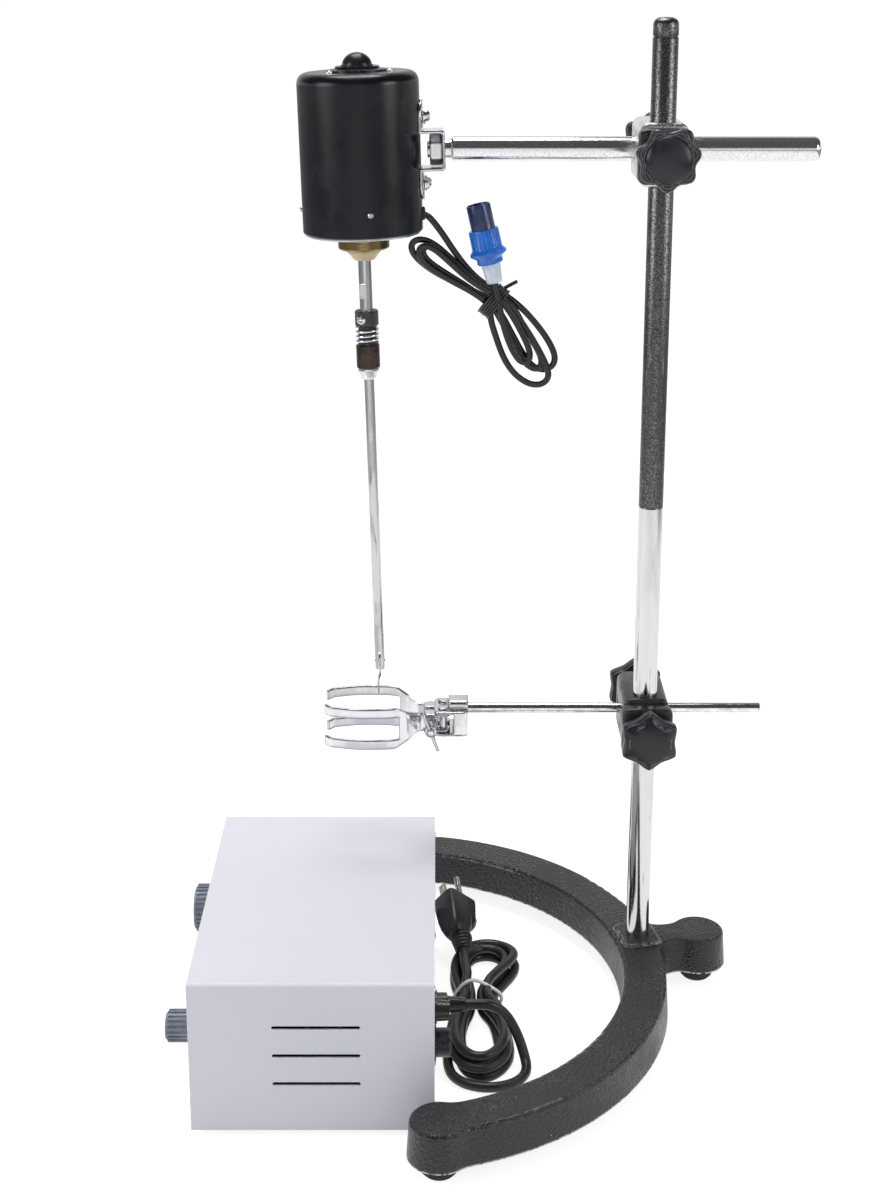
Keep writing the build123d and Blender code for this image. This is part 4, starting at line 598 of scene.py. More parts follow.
def skin(mesh: bmesh.types.BMesh, rings: list[list[Vector]], closed: bool = False, caps: bool = True) -> None:
    """Cover a row of rings that have the same number of points.

    Args:
        mesh: Where the faces go.
        rings: The rings, in order.
        closed: Whether the last ring joins the first.
        caps: Whether the two ends are covered.
    """
    made = [[mesh.verts.new(point) for point in ring] for ring in rings]
    pairs = list(zip(made, made[1:])) + ([(made[-1], made[0])] if closed else [])
    for a, b in pairs:
        for k in range(len(a)):
            mesh.faces.new((a[k - 1], a[k], b[k], b[k - 1]))
    if caps and not closed:
        mesh.faces.new(made[0])
        mesh.faces.new(made[-1])


def lathe(mesh: bmesh.types.BMesh, spot: Matrix, profile: list[tuple[float, float]], sides: int = 48,
          flutes: int = 0, depth: float = 0.0, fluted: tuple[float, float] = (0.0, 0.0)) -> None:
    """Turn a profile about a local Z axis.

    Args:
        mesh: Where the faces go.
        spot: The local frame.
        profile: Radius and height in millimetres, from one end to the other.
        sides: Faces round it.
        flutes: Number of grooves along it.
        depth: Depth of the grooves in millimetres.
        fluted: Lowest and highest height that has the grooves.
    """
    rings = []
    for radius, height in profile:
        ring = []
        for angle in angles(sides):
            cut = depth * (0.5 - 0.5 * math.cos(flutes * angle)) if fluted[0] <= height <= fluted[1] else 0.0
            r = max(radius - cut, 0.001) * MM
            ring.append(spot @ Vector((r * math.cos(angle), r * math.sin(angle), height * MM)))
        rings.append(ring)
    skin(mesh, rings)


def brick(mesh: bmesh.types.BMesh, spot: Matrix, low: Point, high: Point, soft: float = 0.0) -> None:
    """A small block with softened edges.

    Args:
        mesh: Where the faces go.
        spot: The local frame.
        low: Lowest corner in millimetres.
        high: Highest corner.
        soft: Width of the chamfer on its edges.
    """
    x0, y0, z0 = low
    x1, y1, z1 = high
    s = soft
    levels = [(z0, s), (z0 + s, 0.0), (z1 - s, 0.0), (z1, s)] if s else [(z0, 0.0), (z1, 0.0)]
    rings = []
    for z, inset in levels:
        a, b, c, d = x0 + inset, x1 - inset, y0 + inset, y1 - inset
        loop = [(a, c), (b, c), (b, d), (a, d)]
        if s:
            loop = [(a + s, c), (b - s, c), (b, c + s), (b, d - s), (b - s, d), (a + s, d), (a, d - s), (a, c + s)]
        rings.append([spot @ (Vector((x, y, z)) * MM) for x, y in loop])
    skin(mesh, rings)


def tube(mesh: bmesh.types.BMesh, path: list[Vector], section: list[tuple[float, float]], side: Vector,
         closed: bool = False) -> None:
    """Run a section along a path.

    Args:
        mesh: Where the faces go.
        path: Points in metres.
        section: Its outline in millimetres, across the side direction and along it.
        side: Direction that the section's second axis stays near.
        closed: Whether the path joins up.
    """
    rings = []
    count = len(path)
    for k, point in enumerate(path):
        before = path[k - 1] if k or closed else path[0]
        after = path[(k + 1) % count] if k + 1 < count or closed else path[-1]
        along = (after - before).normalized()
        across = along.cross(side).normalized()
        up = across.cross(along).normalized()
        rings.append([point + (across * a + up * b) * MM for a, b in section])
    skin(mesh, rings, closed)


def pillow(mesh: bmesh.types.BMesh, spot: Matrix, half: tuple[float, float], corner: float,
           span: tuple[float, float], soft: float) -> None:
    """A block with round corners and softly rounded ends.

    Args:
        mesh: Where the faces go.
        spot: The local frame; the block runs along its Z.
        half: Half its width and half its depth in millimetres.
        corner: Radius of its long corners.
        span: Its lowest and highest height.
        soft: Radius of the rounding at both ends.
    """
    turns = [math.radians(22.5 * k) for k in range(5)]
    ends = [(soft * math.sin(a), soft * math.cos(a)) for a in turns]
    levels = [(span[0] + soft - r, soft - o) for o, r in ends]
    levels += [(span[1] - soft + r, soft - o) for o, r in reversed(ends)]
    rings = []
    for height, inset in levels:
        ring = []
        for quarter, (sx, sy) in enumerate(((1, 1), (-1, 1), (-1, -1), (1, -1))):
            for a in turns:
                b = a + quarter * math.pi / 2
                r = corner - inset
                x = sx * (half[0] - corner) + r * math.cos(b)
                y = sy * (half[1] - corner) + r * math.sin(b)
                ring.append(spot @ (Vector((x, y, height)) * MM))
        rings.append(ring)
    skin(mesh, rings)


def carve(piece: bpy.types.Object, cutter: bpy.types.Object) -> bpy.types.Object:
    """Cut one mesh out of another.

    Args:
        piece: The mesh to cut.
        cutter: What is taken away; it is removed afterwards.

    Returns:
        The cut piece.
    """
    cut = piece.modifiers.new("cut", "BOOLEAN")
    cut.operation = "DIFFERENCE"
    cut.solver = "EXACT"
    cut.use_self = True
    cut.object = cutter
    data = bpy.data.meshes.new_from_object(piece.evaluated_get(bpy.context.evaluated_depsgraph_get()))
    piece.modifiers.clear()
    piece.data = data
    bpy.data.objects.remove(cutter)
    data.set_sharp_from_angle(angle=math.radians(Shade.EDGED.value))
    return piece


def circle(radius: float, sides: int = 10) -> list[tuple[float, float]]:
    """A round section.

    Args:
        radius: Its radius in millimetres.
        sides: Number of points.

    Returns:
        Its outline.
    """
    return [(radius * math.cos(a), radius * math.sin(a)) for a in angles(sides)]


def nurbs(name: str, points: list[Vector], radius: float, steps: int = 8) -> bpy.types.Object:
    """A smooth curve with the given control points.

    Args:
        name: Name of the curve.
        points: Control points in metres.
        radius: Half its thickness in millimetres; 0 for a bare line.
        steps: Pieces between two control points.

    Returns:
        The curve.
    """
    data = bpy.data.curves.new(name, "CURVE")
    data.dimensions = "3D"
    data.resolution_u = steps
    data.bevel_depth = radius * MM
    data.bevel_resolution = 4
    data.use_fill_caps = True
    spline = data.splines.new("NURBS")
    spline.points.add(len(points) - 1)
    for target, point in zip(spline.points, points):
        target.co = (*point, 1.0)
    spline.order_u = 3
    spline.use_endpoint_u = True
    piece = bpy.data.objects.new(name, data)
    bpy.context.scene.collection.objects.link(piece)
    return piece


def line_of(curve: bpy.types.Object) -> list[Vector]:
    """Points along a bare curve.

    Args:
        curve: A curve with no thickness, removed here.

    Returns:
        The points of its line, in order.
    """
    bpy.context.view_layer.update()
    data = bpy.data.meshes.new_from_object(curve)
    points = [v.co.copy() for v in data.vertices]
    bpy.data.objects.remove(curve)
    return points


# ------------------------------------------------------------------ cords
@dataclass
class MainsCord:
    """Round mains lead: a loose loop, a tied hank and its plug."""

    radius: float = 3.5
    length: float = 1.7
    loop: list[Point] = field(default_factory=lambda: [
        (-129, -104, 45), (-120, -104, 45), (-111, -103.6, 44.6), (-101, -101.5, 36.5), (-92.5, -102, 20),
        (-87.5, -110, 6.5), (-86.8, -121, 3.6), (-93.5, -133, 3.6), (-106.5, -139.2, 3.6), (-121, -139, 3.6),
        (-133.5, -132.5, 3.6), (-141, -120, 3.6), (-141.5, -92, 3.6), (-138.5, -66, 3.6)])
    low: list[tuple[float, float]] = field(default_factory=lambda: [
        (-103, -56), (-98.5, -80), (-97.5, -103), (-103.5, -119), (-115, -129.5), (-128, -127), (-138, -112),
        (-140, -90), (-136.5, -62)])
    low_middle: tuple[float, float] = (-119, -90)
    low_half: tuple[float, float] = (21.5, 39)
    low_turns: list[Turn] = field(default_factory=lambda: [
        ((0, 0, 0, 0, 0.5, 2.5, 5.5, 7.5, 7.5), (3.6,) * 9),
        ((7.5, 7.5, 7.5, 7.5, 7.5, 7.5, 8, 8, 8), (3.6, 3.6, 3.6, 5.5, 8.5, 10.2, 10.7, 10.7, 10.7)),
        ((7, 4, 1.5, 0.5, 0.5, 0.5, 0.5, 0.5, 0.5), (10.7,) * 9),
        ((3.5, 4, 4, 4, 4, 4, 4, 4, 4), (17.2, 17.6, 17.6, 17.6, 17.6, 17.6, 17.6, 17.4, 17.2))])
    high: list[tuple[float, float]] = field(default_factory=lambda: [
        (-136, -10), (-135, 12), (-126, 30), (-111, 36), (-97, 31), (-89, 18), (-91, 3), (-101, -15)])
    high_middle: tuple[float, float] = (-113, 8)
    high_half: tuple[float, float] = (24, 28)
    high_turns: list[Turn] = field(default_factory=lambda: [
        ((0,) * 8, (3.6,) * 8), ((7.5,) * 8, (3.6,) * 8), ((8,) * 8, (10.7,) * 8),
        ((0.5, 0.5, 0.5, 0.5, 0.5, 1, 2, 3), (10.7, 10.7, 10.7, 10.7, 11, 13, 15.5, 16.8))])
    left_slots: list[tuple[float, float]] = field(default_factory=lambda: [
        (-131.5, 3.6), (-124, 3.6), (-123.8, 10.7), (-131.3, 10.7), (-127.5, 17.1)])
    right_slots: list[tuple[float, float]] = field(default_factory=lambda: [
        (-109, 3.6), (-116.5, 3.6), (-116.4, 10.7), (-112.6, 17)])
    tail: list[Point] = field(default_factory=lambda: [
        (-126, -18, 17.6), (-128, -6, 17.7), (-128.2, 4, 17.6), (-128.6, 14, 18.4)])

    @staticmethod
    def around(outline: list[tuple[float, float]], middle: tuple[float, float], half: tuple[float, float],
               one: Turn) -> list[Point]:
        """One end of a turn, drawn in towards the middle of the hank.

        Args:
            outline: The outermost turn.
            middle: What the turn goes round.
            half: Half the outermost turn's width and length.
            one: How far in, and how high, each point of this turn is.

        Returns:
            Its points.
        """
        return [(middle[0] + (x - middle[0]) * (1 - inset / half[0]),
                 middle[1] + (y - middle[1]) * (1 - inset / half[1]), z)
                for (x, y), inset, z in zip(outline, *one)]

    def route(self) -> list[Point]:
        """Every control point, from the gland to the plug."""
        points = list(self.loop)
        for k, (x, z) in enumerate(self.left_slots):
            points += [(x, -48, z), (x, -30, z)]
            if k == len(self.right_slots):
                break
            points += self.around(self.high, self.high_middle, self.high_half, self.high_turns[k])
            x, z = self.right_slots[k]
            points += [(x, -30, z), (x, -48, z)]
            points += self.around(self.low, self.low_middle, self.low_half, self.low_turns[k])
        return points + self.tail

    def build(self, paint: Paintbox, plug: list[bpy.types.Object]) -> None:
        """Lay the cord.

        Args:
            paint: The materials.
            plug: The plug's pieces; not used.
        """
        points = [at(*p) for p in self.route()]
        cord = nurbs("mains_lead", points, self.radius)
        paint.coat(cord, "sheath_black")
        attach(cord, "stand")
        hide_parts("mains_cord", "mains_hank")
        tie = self.tie(paint)
        LOG.info("mains lead: %d control points", len(points))

    def tie(self, paint: Paintbox) -> bpy.types.Object:
        """White twist tie over the hank.

        Args:
            paint: The materials.

        Returns:
            The tie.
        """
        arch = [(-136.2, 1.2), (-137.2, 6), (-135.5, 12), (-131, 19), (-125.5, 23.6), (-119.5, 23.8), (-113, 20.2),
                (-107, 16.4), (-102.6, 13.0), (-101, 8), (-103.6, 3.6), (-104.6, 1.2)]
        line = line_of(nurbs("tie_line", [at(x, -38.5, z) for x, z in arch], 0.0, 4))
        mesh = bmesh.new()
        tube(mesh, line, [(1.25 * a, 1.5 * b) for a, b in circle(1.0, 12)], Vector((0, 1, 0)))
        piece = paint.coat(mesh_piece("mains_tie", mesh), "tie_white")
        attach(piece, "stand")
        return piece


@dataclass
class Plug:
    """Moulded plug with a waisted grip and a ribbed tail."""

    spot: Matrix = field(default_factory=lambda: placed((-130, 24, 21), turn(8, "Z"), turn(15, "X"), turn(40, "Y")))
    face: float = 40.0

    def build(self, paint: Paintbox) -> list[bpy.types.Object]:
        """Mould the body.

        Args:
            paint: The materials.

        Returns:
            The body and the frame's pins.
        """
        mesh = bmesh.new()
        trunk = [(0, 6.0, 6.0, 2.2), (0.8, 7.6, 7.2, 2.4), (4, 9.4, 8.4, 3.0), (9, 10.4, 9.6, 3.8),
                 (16, 10.8, 10.4, 4.6), (24, 10.8, 10.8, 5.0), (34, 10.6, 11.0, 5.4), (38.6, 10.4, 10.8, 5.4),
                 (self.face, 9.4, 9.8, 5.0)]
        self.lobe(mesh, -3.6, 0.0, trunk)
        ball = [(12.6, 1.4, 1.4, 2.0), (13.2, 3.6, 3.6, 2.0), (14.6, 5.6, 5.6, 2.0), (17, 7.3, 7.3, 2.1),
                (20, 8.1, 8.1, 2.2), (23, 7.6, 8.0, 2.4), (27, 7.2, 8.2, 3.0), (34, 7.2, 9.0, 4.0),
                (38.6, 7.0, 9.2, 4.6), (self.face, 6.2, 8.4, 4.6)]
        self.lobe(mesh, 7.4, 1.4, ball)
        body = paint.coat(mesh_piece("mains_plug", mesh), "sheath_black")
        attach(body, "stand")
        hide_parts("plug_body")
        mesh = bmesh.new()
        profile = [(3.6, -12.0), (5.0, -11.6)]
        for k in range(4):
            y = -10.6 + 3.0 * k
            wide = 6.6 + 0.5 * k
            profile += [(wide - 1.0, y), (wide, y + 0.4), (wide, y + 1.7), (wide - 1.0, y + 2.1)]
        profile += [(6.2, 1.6), (3.5, 2.0)]
        lathe(mesh, self.spot @ turn(-90, "X"), profile, 32)
        relief = paint.coat(mesh_piece("mains_plug_relief", mesh), "sheath_black")
        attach(relief, "stand")
        return [body, relief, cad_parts["plug_pins"]]

    def lobe(self, mesh: bmesh.types.BMesh, x: float, z: float,
             stations: list[tuple[float, float, float, float]]) -> None:
        """One swelling of the moulded body.

        Args:
            mesh: Where the faces go.
            x: Its middle across the plug.
            z: Its middle above the plug's axis.
            stations: Distance along the plug, half width, half depth and squareness.
        """
        rings = []
        for y, half_x, half_z, power in stations:
            ring = []
            for angle in angles(40):
                c, s = math.cos(angle), math.sin(angle)
                across = math.copysign(abs(c) ** (2 / power), c) * half_x
                up = math.copysign(abs(s) ** (2 / power), s) * half_z
                ring.append(self.spot @ (Vector((x + across, y, z + up)) * MM))
            rings.append(ring)
        skin(mesh, rings)


@dataclass
class MotorLead:
    """Flat twin lead from the motor, folded in a bow, tied, with its connector."""

    length: float = 1.0
    width: float = 4.5
    thick: float = 2.7
    leave: Point = (-157.6, 30.0, 569.6)
    folds: list[tuple[float, float, list[tuple[float, float]]]] = field(default_factory=lambda: [
        (36.0, 35.2, [(-155.3, 568.3), (-151.5, 564.5), (-145, 556), (-135.9, 542), (-126.7, 530.2), (-117.4, 521.5),
                      (-105.6, 515.6), (-95, 508.5), (-85, 499.2), (-73.2, 484.7), (-66.1, 471.7), (-66.4, 463.5),
                      (-72.7, 459.4), (-81, 461.4), (-88.2, 470.5), (-96, 485), (-104, 500), (-110.5, 509.3)]),
        (35.0, 31.8, [(-121, 514.8), (-134.5, 521.2), (-149.6, 528.6), (-161.8, 537.8), (-166.6, 545.2), (-165, 551),
                      (-158, 552.4), (-149.5, 548.4), (-139, 539), (-128, 528.8), (-117, 521.3), (-105.9, 515.2)]),
        (31.6, 31.4, [(-95.5, 505), (-90.2, 495.1), (-82.4, 481.9), (-76.4, 471.3), (-75.2, 464.5), (-79.6, 460.4),
                      (-87.5, 465.4), (-94.5, 477), (-102, 492), (-107.6, 502.0), (-111.2, 508.6)]),
        (31.2, 28.4, [(-119.5, 513.8), (-131.2, 522), (-145, 530.5), (-154.5, 537.2), (-158.8, 543.5), (-156.5, 548.2),
                      (-149.5, 546.8), (-140, 537.8), (-128.5, 527), (-117, 519.3), (-106.2, 514.8)]),
        (28.2, 28.0, [(-97, 505), (-88.4, 493), (-79.4, 478.5), (-72.6, 465.5), (-70.2, 456.6), (-74.7, 451.0),
                      (-83.8, 450.8), (-94.3, 457.8), (-102.2, 469.3), (-107.7, 484.6), (-111.6, 497), (-112, 507.6)]),
        (27.8, 25.2, [(-124, 516.5), (-139.5, 524.6), (-153.5, 533.2), (-161.5, 541.6), (-159.8, 548.6), (-151.8, 548),
                      (-141, 538.6), (-129, 527.4), (-118, 519.9), (-106.8, 514)]),
        (25.0, 22.0, [(-98.4, 503.6), (-90.2, 489.4), (-84.2, 476.4), (-84.4, 468.4), (-90.4, 467.4), (-96.6, 476.5),
                      (-101.4, 489), (-104.5, 501.5)])])
    rise: list[Point] = field(default_factory=lambda: [(-107.6, 21.8, 517.5), (-109.3, 21.0, 526.5)])
    join: Matrix = field(default_factory=lambda: placed((-109, 21, 524), turn(-12.5, "Y")))

    def build(self, paint: Paintbox) -> None:
        """Fold the lead and fit its connector.

        Args:
            paint: The materials.
        """
        points = [at(*self.leave)]
        for first, last, fold in self.folds:
            step = (last - first) / (len(fold) - 1)
            points += [at(x, first + step * k, z) for k, (x, z) in enumerate(fold)]
        points += [at(*p) for p in self.rise]
        path = line_of(nurbs("lead_line", points, 0.0, 5))
        r = self.thick / 2
        off = (self.width - self.thick) / 2
        lobe = [(off + r * math.cos(a), r * math.sin(a)) for a in [math.radians(d) for d in (-70, -35, 0, 35, 70)]]
        waist = [(0.0, r * 0.62)]
        section = lobe + waist + [(-x, z) for x, z in reversed(lobe)] + [(0.0, -r * 0.62)]
        mesh = bmesh.new()
        tube(mesh, path, section, Vector((0, 1, 0)))
        lead = paint.coat(mesh_piece("twin_lead", mesh, Shade.SMOOTH), "lead_black")
        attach(lead, "arm")
        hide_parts("motor_lead", "lead_hank")
        pieces = [*self.connector(paint), self.tie(paint)]
        total = sum((b - a).length for a, b in zip(path, path[1:]))
        LOG.info("motor lead: %d control points, %.3f m", len(points), total)

    def connector(self, paint: Paintbox) -> list[bpy.types.Object]:
        """Round in-line connector: pale sleeve, blue collar and dark shell.

        Args:
            paint: The materials.

        Returns:
            Its three pieces.
        """
        parts = [
            ("lead_sleeve", "sleeve_pale", [(2.4, 0.0), (4.9, 0.3), (5.5, 1.2), (5.9, 6.0), (6.6, 12.6), (6.7, 14.4),
                                            (5, 14.4)], 10, 0.5, (2.0, 12.0)),
            ("lead_collar", "collar_blue", [(5, 14.0), (8.4, 14.0), (8.9, 14.6), (8.9, 17.4), (9.4, 18.2), (12.2, 20.2),
                                            (12.6, 20.9), (12.6, 22.2), (12.0, 22.9), (10.8, 24.2), (10.5, 25.0),
                                            (10.4, 36.8), (9.9, 37.8), (7.5, 38.0)], 18, 0.35, (25.0, 36.9)),
            ("lead_shell", "shell_navy", [(7.5, 37.6), (8.3, 37.6), (8.4, 38.4), (8.4, 53.9), (8.0, 54.8), (7.4, 55.0),
                                          (7.1, 54.4), (7.0, 46.2), (0.4, 46.0)], 3, 0.25, (38.4, 54.0)),
        ]
        made = []
        for name, finish, profile, flutes, depth, zone in parts:
            mesh = bmesh.new()
            lathe(mesh, self.join, profile, 72, flutes, depth, zone)
            if name == "lead_shell":
                for k in range(4):
                    ray = self.join @ turn(45 + 90 * k, "Z") @ Matrix.Translation(Vector((3.6, 0, 0)) * MM)
                    lathe(mesh, ray, [(0.9, 45.9), (0.9, 52.0), (0.5, 52.8)], 10)
            piece = paint.coat(mesh_piece(name, mesh), finish)
            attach(piece, "arm")
            made.append(piece)
        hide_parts("lead_connector")
        return made

    def tie(self, paint: Paintbox) -> bpy.types.Object:
        """Black wire tie round the middle of the bow, its ends twisted together.

        Args:
            paint: The materials.

        Returns:
            The tie.
        """
        middle = at(-109.3, 30, 509.6)
        across = Vector((0.62, 0, 0.78))
        along_lead = Vector((0.78, 0, -0.62))
        mesh = bmesh.new()
        for wrap in range(5):
            loop = []
            for angle in angles(32):
                out = across * (11.9 - 0.3 * (wrap % 2)) * math.cos(angle) + Vector((0, 8.9, 0)) * math.sin(angle)
                loop.append(middle + (out + along_lead * (1.9 * (wrap - 2) + 0.9 * math.sin(angle))) * MM)
            tube(mesh, loop, circle(0.85, 8), along_lead, True)
        start = middle + across * 11.8 * MM
        along = Vector((0.83, -0.25, 0.5)).normalized()
        for phase in (0.0, math.pi):
            line = []
            for k in range(25):
                angle = phase + k * 0.9
                swing = Vector((0, 1, 0)) * math.cos(angle) + along.cross(Vector((0, 1, 0))) * math.sin(angle)
                line.append(start + (along * (k * 0.42) + swing * 0.8) * MM)
            tube(mesh, line, circle(0.7, 6), Vector((0, 0.2, 1)))
        piece = paint.coat(mesh_piece("lead_tie", mesh), "sheath_black")
        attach(piece, "arm")
        return piece


# ------------------------------------------------------------------ sub-assemblies
@dataclass
class Stand:
    """Cast base with its feet and the two-part upright."""

    finishes: dict[str, str] = field(default_factory=lambda: {
        "base_casting": "crinkle_black", "rubber_feet": "foot_rubber", "lower_upright": "plated_rod",
        "foot_nut": "zinc_plate"})
    seam: float = 371.0
    top: float = 702.0

    def build(self, paint: Paintbox) -> None:
        """Finish the frame's own pieces and turn the upper section with its round end.

        Args:
            paint: The materials.
        """
        paint.nodes(self.finishes)
        mesh = bmesh.new()
        t = self.top
        lathe(mesh, placed((0, 0, 0)), [
            (5.0, self.seam - 18), (5.0, self.seam), (8.1, self.seam), (8.5, self.seam + 0.4), (8.5, t - 13.4),
            (8.3, t - 13.0), (7.8, t - 12.6), (7.8, t - 12.2), (8.3, t - 11.8), (8.4, t - 11.4), (8.4, t - 4.6),
            (8.1, t - 3.2),
            (7.3, t - 1.9), (6.0, t - 0.9), (4.2, t - 0.25), (0.2, t)], 64)
        piece = paint.coat(mesh_piece("upper_section", mesh), "tired_rod")
        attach(piece, "stand")
        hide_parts("upper_upright")


@dataclass
class StarKnob:
    """Moulded star grip; its axis runs out from the boss head."""

    radius: float = 21.4
    hub: float = 10.4
    dome: float = 15.6
    points: int = 168

    def rim(self, lobes: int, depth: float, power: float, phase: float, inset: float) -> list[float]:
        """Radius of the rim all the way round.

        Args:
            lobes: Number of lobes.
            depth: Depth of the scallops between them.
            power: 1 for even waves, more for narrow scallops, less for pointed lobes.
            phase: Degrees by which the lobes are turned.
            inset: How far the rim is drawn in.

        Returns:
            A radius for each of its points.
        """
        out = []
        for angle in angles(self.points):
            wave = 0.5 - 0.5 * math.cos(lobes * (angle - math.radians(phase)))
            out.append(self.radius - inset - depth * wave ** power)
        return out

    def mould(self, name: str, spot: Matrix, lobes: int, phase: float, domed: bool) -> bpy.types.Object:
        """Mould one grip.

        Args:
            name: Name of the piece.
            spot: Its frame; the hub's face is at height 0.
            lobes: Number of lobes.
            phase: Degrees by which the lobes are turned.
            domed: Whether a dome stands on a flat face, or the whole face swells.

        Returns:
            The piece.
        """
        depth, power = (3.4, 1.0) if domed else (3.6, 0.62)
        plan = [(None, self.hub - 1.0, 0.0), (None, self.hub, 0.5), (None, self.hub, 4.2), (3.4, 0.0, 4.2),
                (1.0, 0.0, 4.6), (0.2, 0.0, 6.0), (0.0, 0.0, 7.5), (0.0, 0.0, 12.2), (0.3, 0.0, 13.4),
                (1.0, 0.0, 14.3), (1.8, 0.0, 14.5)]
        if domed:
            plan += [(2.6, 0.0, 14.3), (3.0, 0.0, 13.8), (None, self.dome + 0.3, 13.8), (None, self.dome, 14.4)]
            plan += [(None, self.dome * math.cos(a), 14.4 + 5.4 * math.sin(a))
                     for a in [math.radians(9 * k) for k in range(1, 10)]]
        else:
            plan += [(3.2, 0.0, 15.6), (None, 14.5, 17.4), (None, 11.0, 18.7), (None, 6.5, 19.5), (None, 2.5, 19.8)]
        rings = []
        for inset, radius, height in plan + [(None, 0.2, 19.9)]:
            radii = [radius] * self.points if inset is None else self.rim(lobes, depth, power, phase, inset)
            rings.append([spot @ (Vector((r * math.cos(a), r * math.sin(a), height)) * MM)
                          for a, r in zip(angles(self.points), radii)])
        mesh = bmesh.new()
        skin(mesh, rings)
        return mesh_piece(name, mesh)


@dataclass
class BossHeads:
    """Upper and lower boss heads with their knobs and screws."""

    heights: dict[str, float] = field(default_factory=lambda: {"upper": ARM_HEIGHT, "lower": 210.0})
    half: tuple[float, float] = (16.0, 21.0)
    shell: tuple[float, float] = (-11.5, 43.0)
    bridge: tuple[float, float] = (17.8, 18.0)
    front: float = -23.0
    back: float = 53.0
    knob_front: float = -25.0
    knob_back: float = 55.0
    rod_bore: float = 8.9
    clamp_bore: float = 4.2
    screw_bore: float = 4.5

    def build(self, paint: Paintbox) -> None:
        """Cast the two heads and mould their knobs.

        Args:
            paint: The materials.
        """
        knob = StarKnob()
        for head, height in self.heights.items():
            upper = head == "upper"
            cast = self.casting(head, height)
            paint.coat(cast, "raw_casting" if upper else "grey_casting")
            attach(cast, f"{head}_boss")
            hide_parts(f"{head}_boss_casting")
            for side, y, angle in (("front", self.front, -1), ("rear", self.back, 1)):
                saddle = self.saddle(f"{head}_{side}_saddle", height, y, angle)
                paint.coat(saddle, "grey_casting")
                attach(saddle, f"{head}_boss")
                spot = placed((0, self.knob_front if angle < 0 else self.knob_back, height), turn(-90 * angle, "X"))
                name = f"{head}_{side}_grip"
                grip = paint.coat(knob.mould(name, spot, 7 if upper else 6, 12 if upper else 90, upper), "knob_black")
                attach(grip, f"{head}_{side}_lock")
                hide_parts(f"{head}_{side}_knob")
                paint.nodes({f"{head}_{side}_screw": "zinc_plate"})

    def casting(self, head: str, height: float) -> bpy.types.Object:
        """Block with a round bore for each rod and one for the screws.

        Args:
            head: Its name.
            height: Height of its middle.

        Returns:
            The casting.
        """
        mesh = bmesh.new()
        pillow(mesh, placed((0, 0, height), turn(90, "X")), self.half, 6.0, (-self.shell[1], -self.shell[0]), 2.4)
        piece = mesh_piece(f"{head}_head", mesh)
        mesh = bmesh.new()
        across = self.rod_bore if head == "upper" else self.clamp_bore
        lathe(mesh, placed((0, 0, height)), [(self.rod_bore, -40), (self.rod_bore, 40)], 40)
        lathe(mesh, placed((0, ARM_DEPTH, height), turn(90, "Y")), [(across, -40), (across, 40)], 40)
        lathe(mesh, placed((0, 0, height), turn(90, "X")), [(self.screw_bore, -60), (self.screw_bore, 60)], 32)
        return carve(piece, mesh_piece("cutter", mesh))

    def saddle(self, name: str, height: float, y: float, way: int) -> bpy.types.Object:
        """Bridge over one rod that carries the knob's screw.

        Args:
            name: Name of the piece.
            height: Height of its middle.
            y: Its outer face.
            way: -1 in front, 1 behind.

        Returns:
            The bridge.
        """
        mesh = bmesh.new()
        spot = placed((0, y, height), turn(-90 * way, "X"))
        half = self.bridge if way < 0 else (self.bridge[1] - 3, self.bridge[0] - 2)
        pillow(mesh, spot, half, 5.0, (-11.2, 0.0), 2.0)
        piece = mesh_piece(name, mesh)
        mesh = bmesh.new()
        lathe(mesh, placed((0, 0, height), turn(90, "X")), [(self.screw_bore, -70), (self.screw_bore, 70)], 32)
        return carve(piece, mesh_piece("cutter", mesh))


